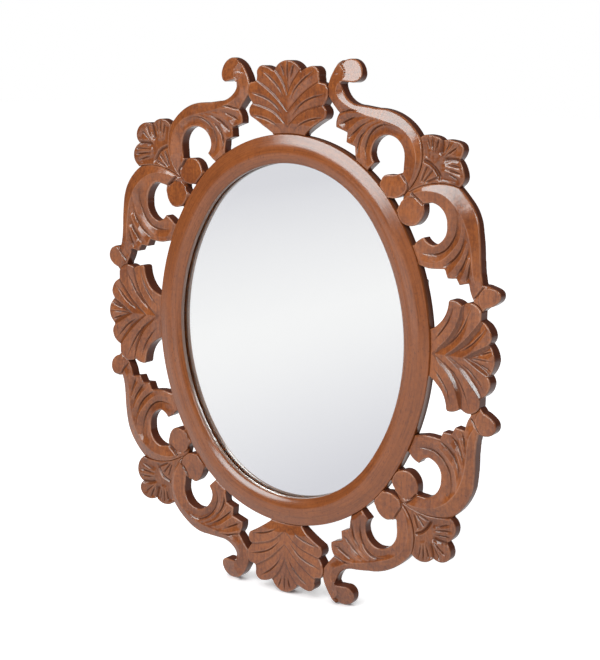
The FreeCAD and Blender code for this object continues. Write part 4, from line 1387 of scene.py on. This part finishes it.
class OVAL_MIRROR_OT_stage(bpy.types.Operator):
    """Lay the floor, set the light and place the camera"""
    bl_idname = "oval_mirror.stage"
    bl_label = "Stage"

    def execute(self, context):
        scene = context.scene
        settings = scene.mirror_stage
        scene.view_settings.view_transform = "Standard"
        bpy.ops.object.select_all(action="DESELECT")
        bpy.ops.mesh.primitive_plane_add(size=FLOOR_SIZE, location=(0, 0, FLOOR_HEIGHT - FLOOR_DROP))
        floor = context.object
        floor.name = "floor"
        floor.data.materials.append(floor_material(settings))
        white_world(settings)
        soft_box("Key", KEY_LAMP, settings.key_power)
        soft_box("Side", SIDE_LAMP, settings.side_power)
        soft_box("Low", LOW_LAMP, settings.low_power)

        lens = bpy.data.cameras.new("Camera")
        lens.sensor_fit = "AUTO"
        lens.sensor_width = SENSOR_WIDTH
        lens.lens = settings.lens
        camera = bpy.data.objects.new("Camera", lens)
        camera.location = CAMERA_PLACE
        camera.rotation_euler = Euler([math.radians(angle) for angle in CAMERA_DEGREES], "XYZ")
        scene.collection.objects.link(camera)
        scene.camera = camera
        return {"FINISHED"}


class OVAL_MIRROR_PT_panel(bpy.types.Panel):
    """Steps of the mirror, in order"""
    bl_idname = "OVAL_MIRROR_PT_panel"
    bl_label = "Oval Mirror"
    bl_space_type = "VIEW_3D"
    bl_region_type = "UI"
    bl_category = "Oval Mirror"

    def draw(self, context):
        for step in STEPS:
            self.layout.operator(step.bl_idname)


GROUPS = {
    "mirror_ring": RingSizes,
    "mirror_carving": CarvingSizes,
    "mirror_colours": FinishColours,
    "mirror_stage": StageSettings,
}
STEPS = (
    OVAL_MIRROR_OT_stage,
    OVAL_MIRROR_OT_ring,
    OVAL_MIRROR_OT_palmettes,
    OVAL_MIRROR_OT_crest_scrolls,
    OVAL_MIRROR_OT_side_scrolls,
    OVAL_MIRROR_OT_shells,
    OVAL_MIRROR_OT_glass,
    OVAL_MIRROR_OT_fittings,
)


def register():
    for group in GROUPS.values():
        bpy.utils.register_class(group)
    for step in STEPS:
        bpy.utils.register_class(step)
    bpy.utils.register_class(OVAL_MIRROR_PT_panel)
    for name, group in GROUPS.items():
        setattr(bpy.types.Scene, name, PointerProperty(type=group))


def unregister():
    for name in GROUPS:
        delattr(bpy.types.Scene, name)
    bpy.utils.unregister_class(OVAL_MIRROR_PT_panel)
    for step in reversed(STEPS):
        bpy.utils.unregister_class(step)
    for group in reversed(list(GROUPS.values())):
        bpy.utils.unregister_class(group)


def main():
    register()
    bpy.ops.oval_mirror.stage()
    bpy.ops.oval_mirror.ring()
    bpy.ops.oval_mirror.palmettes()
    bpy.ops.oval_mirror.crest_scrolls()
    bpy.ops.oval_mirror.side_scrolls()
    bpy.ops.oval_mirror.shells()
    bpy.ops.oval_mirror.glass()
    bpy.ops.oval_mirror.fittings()


if __name__ == "__main__":
    main()
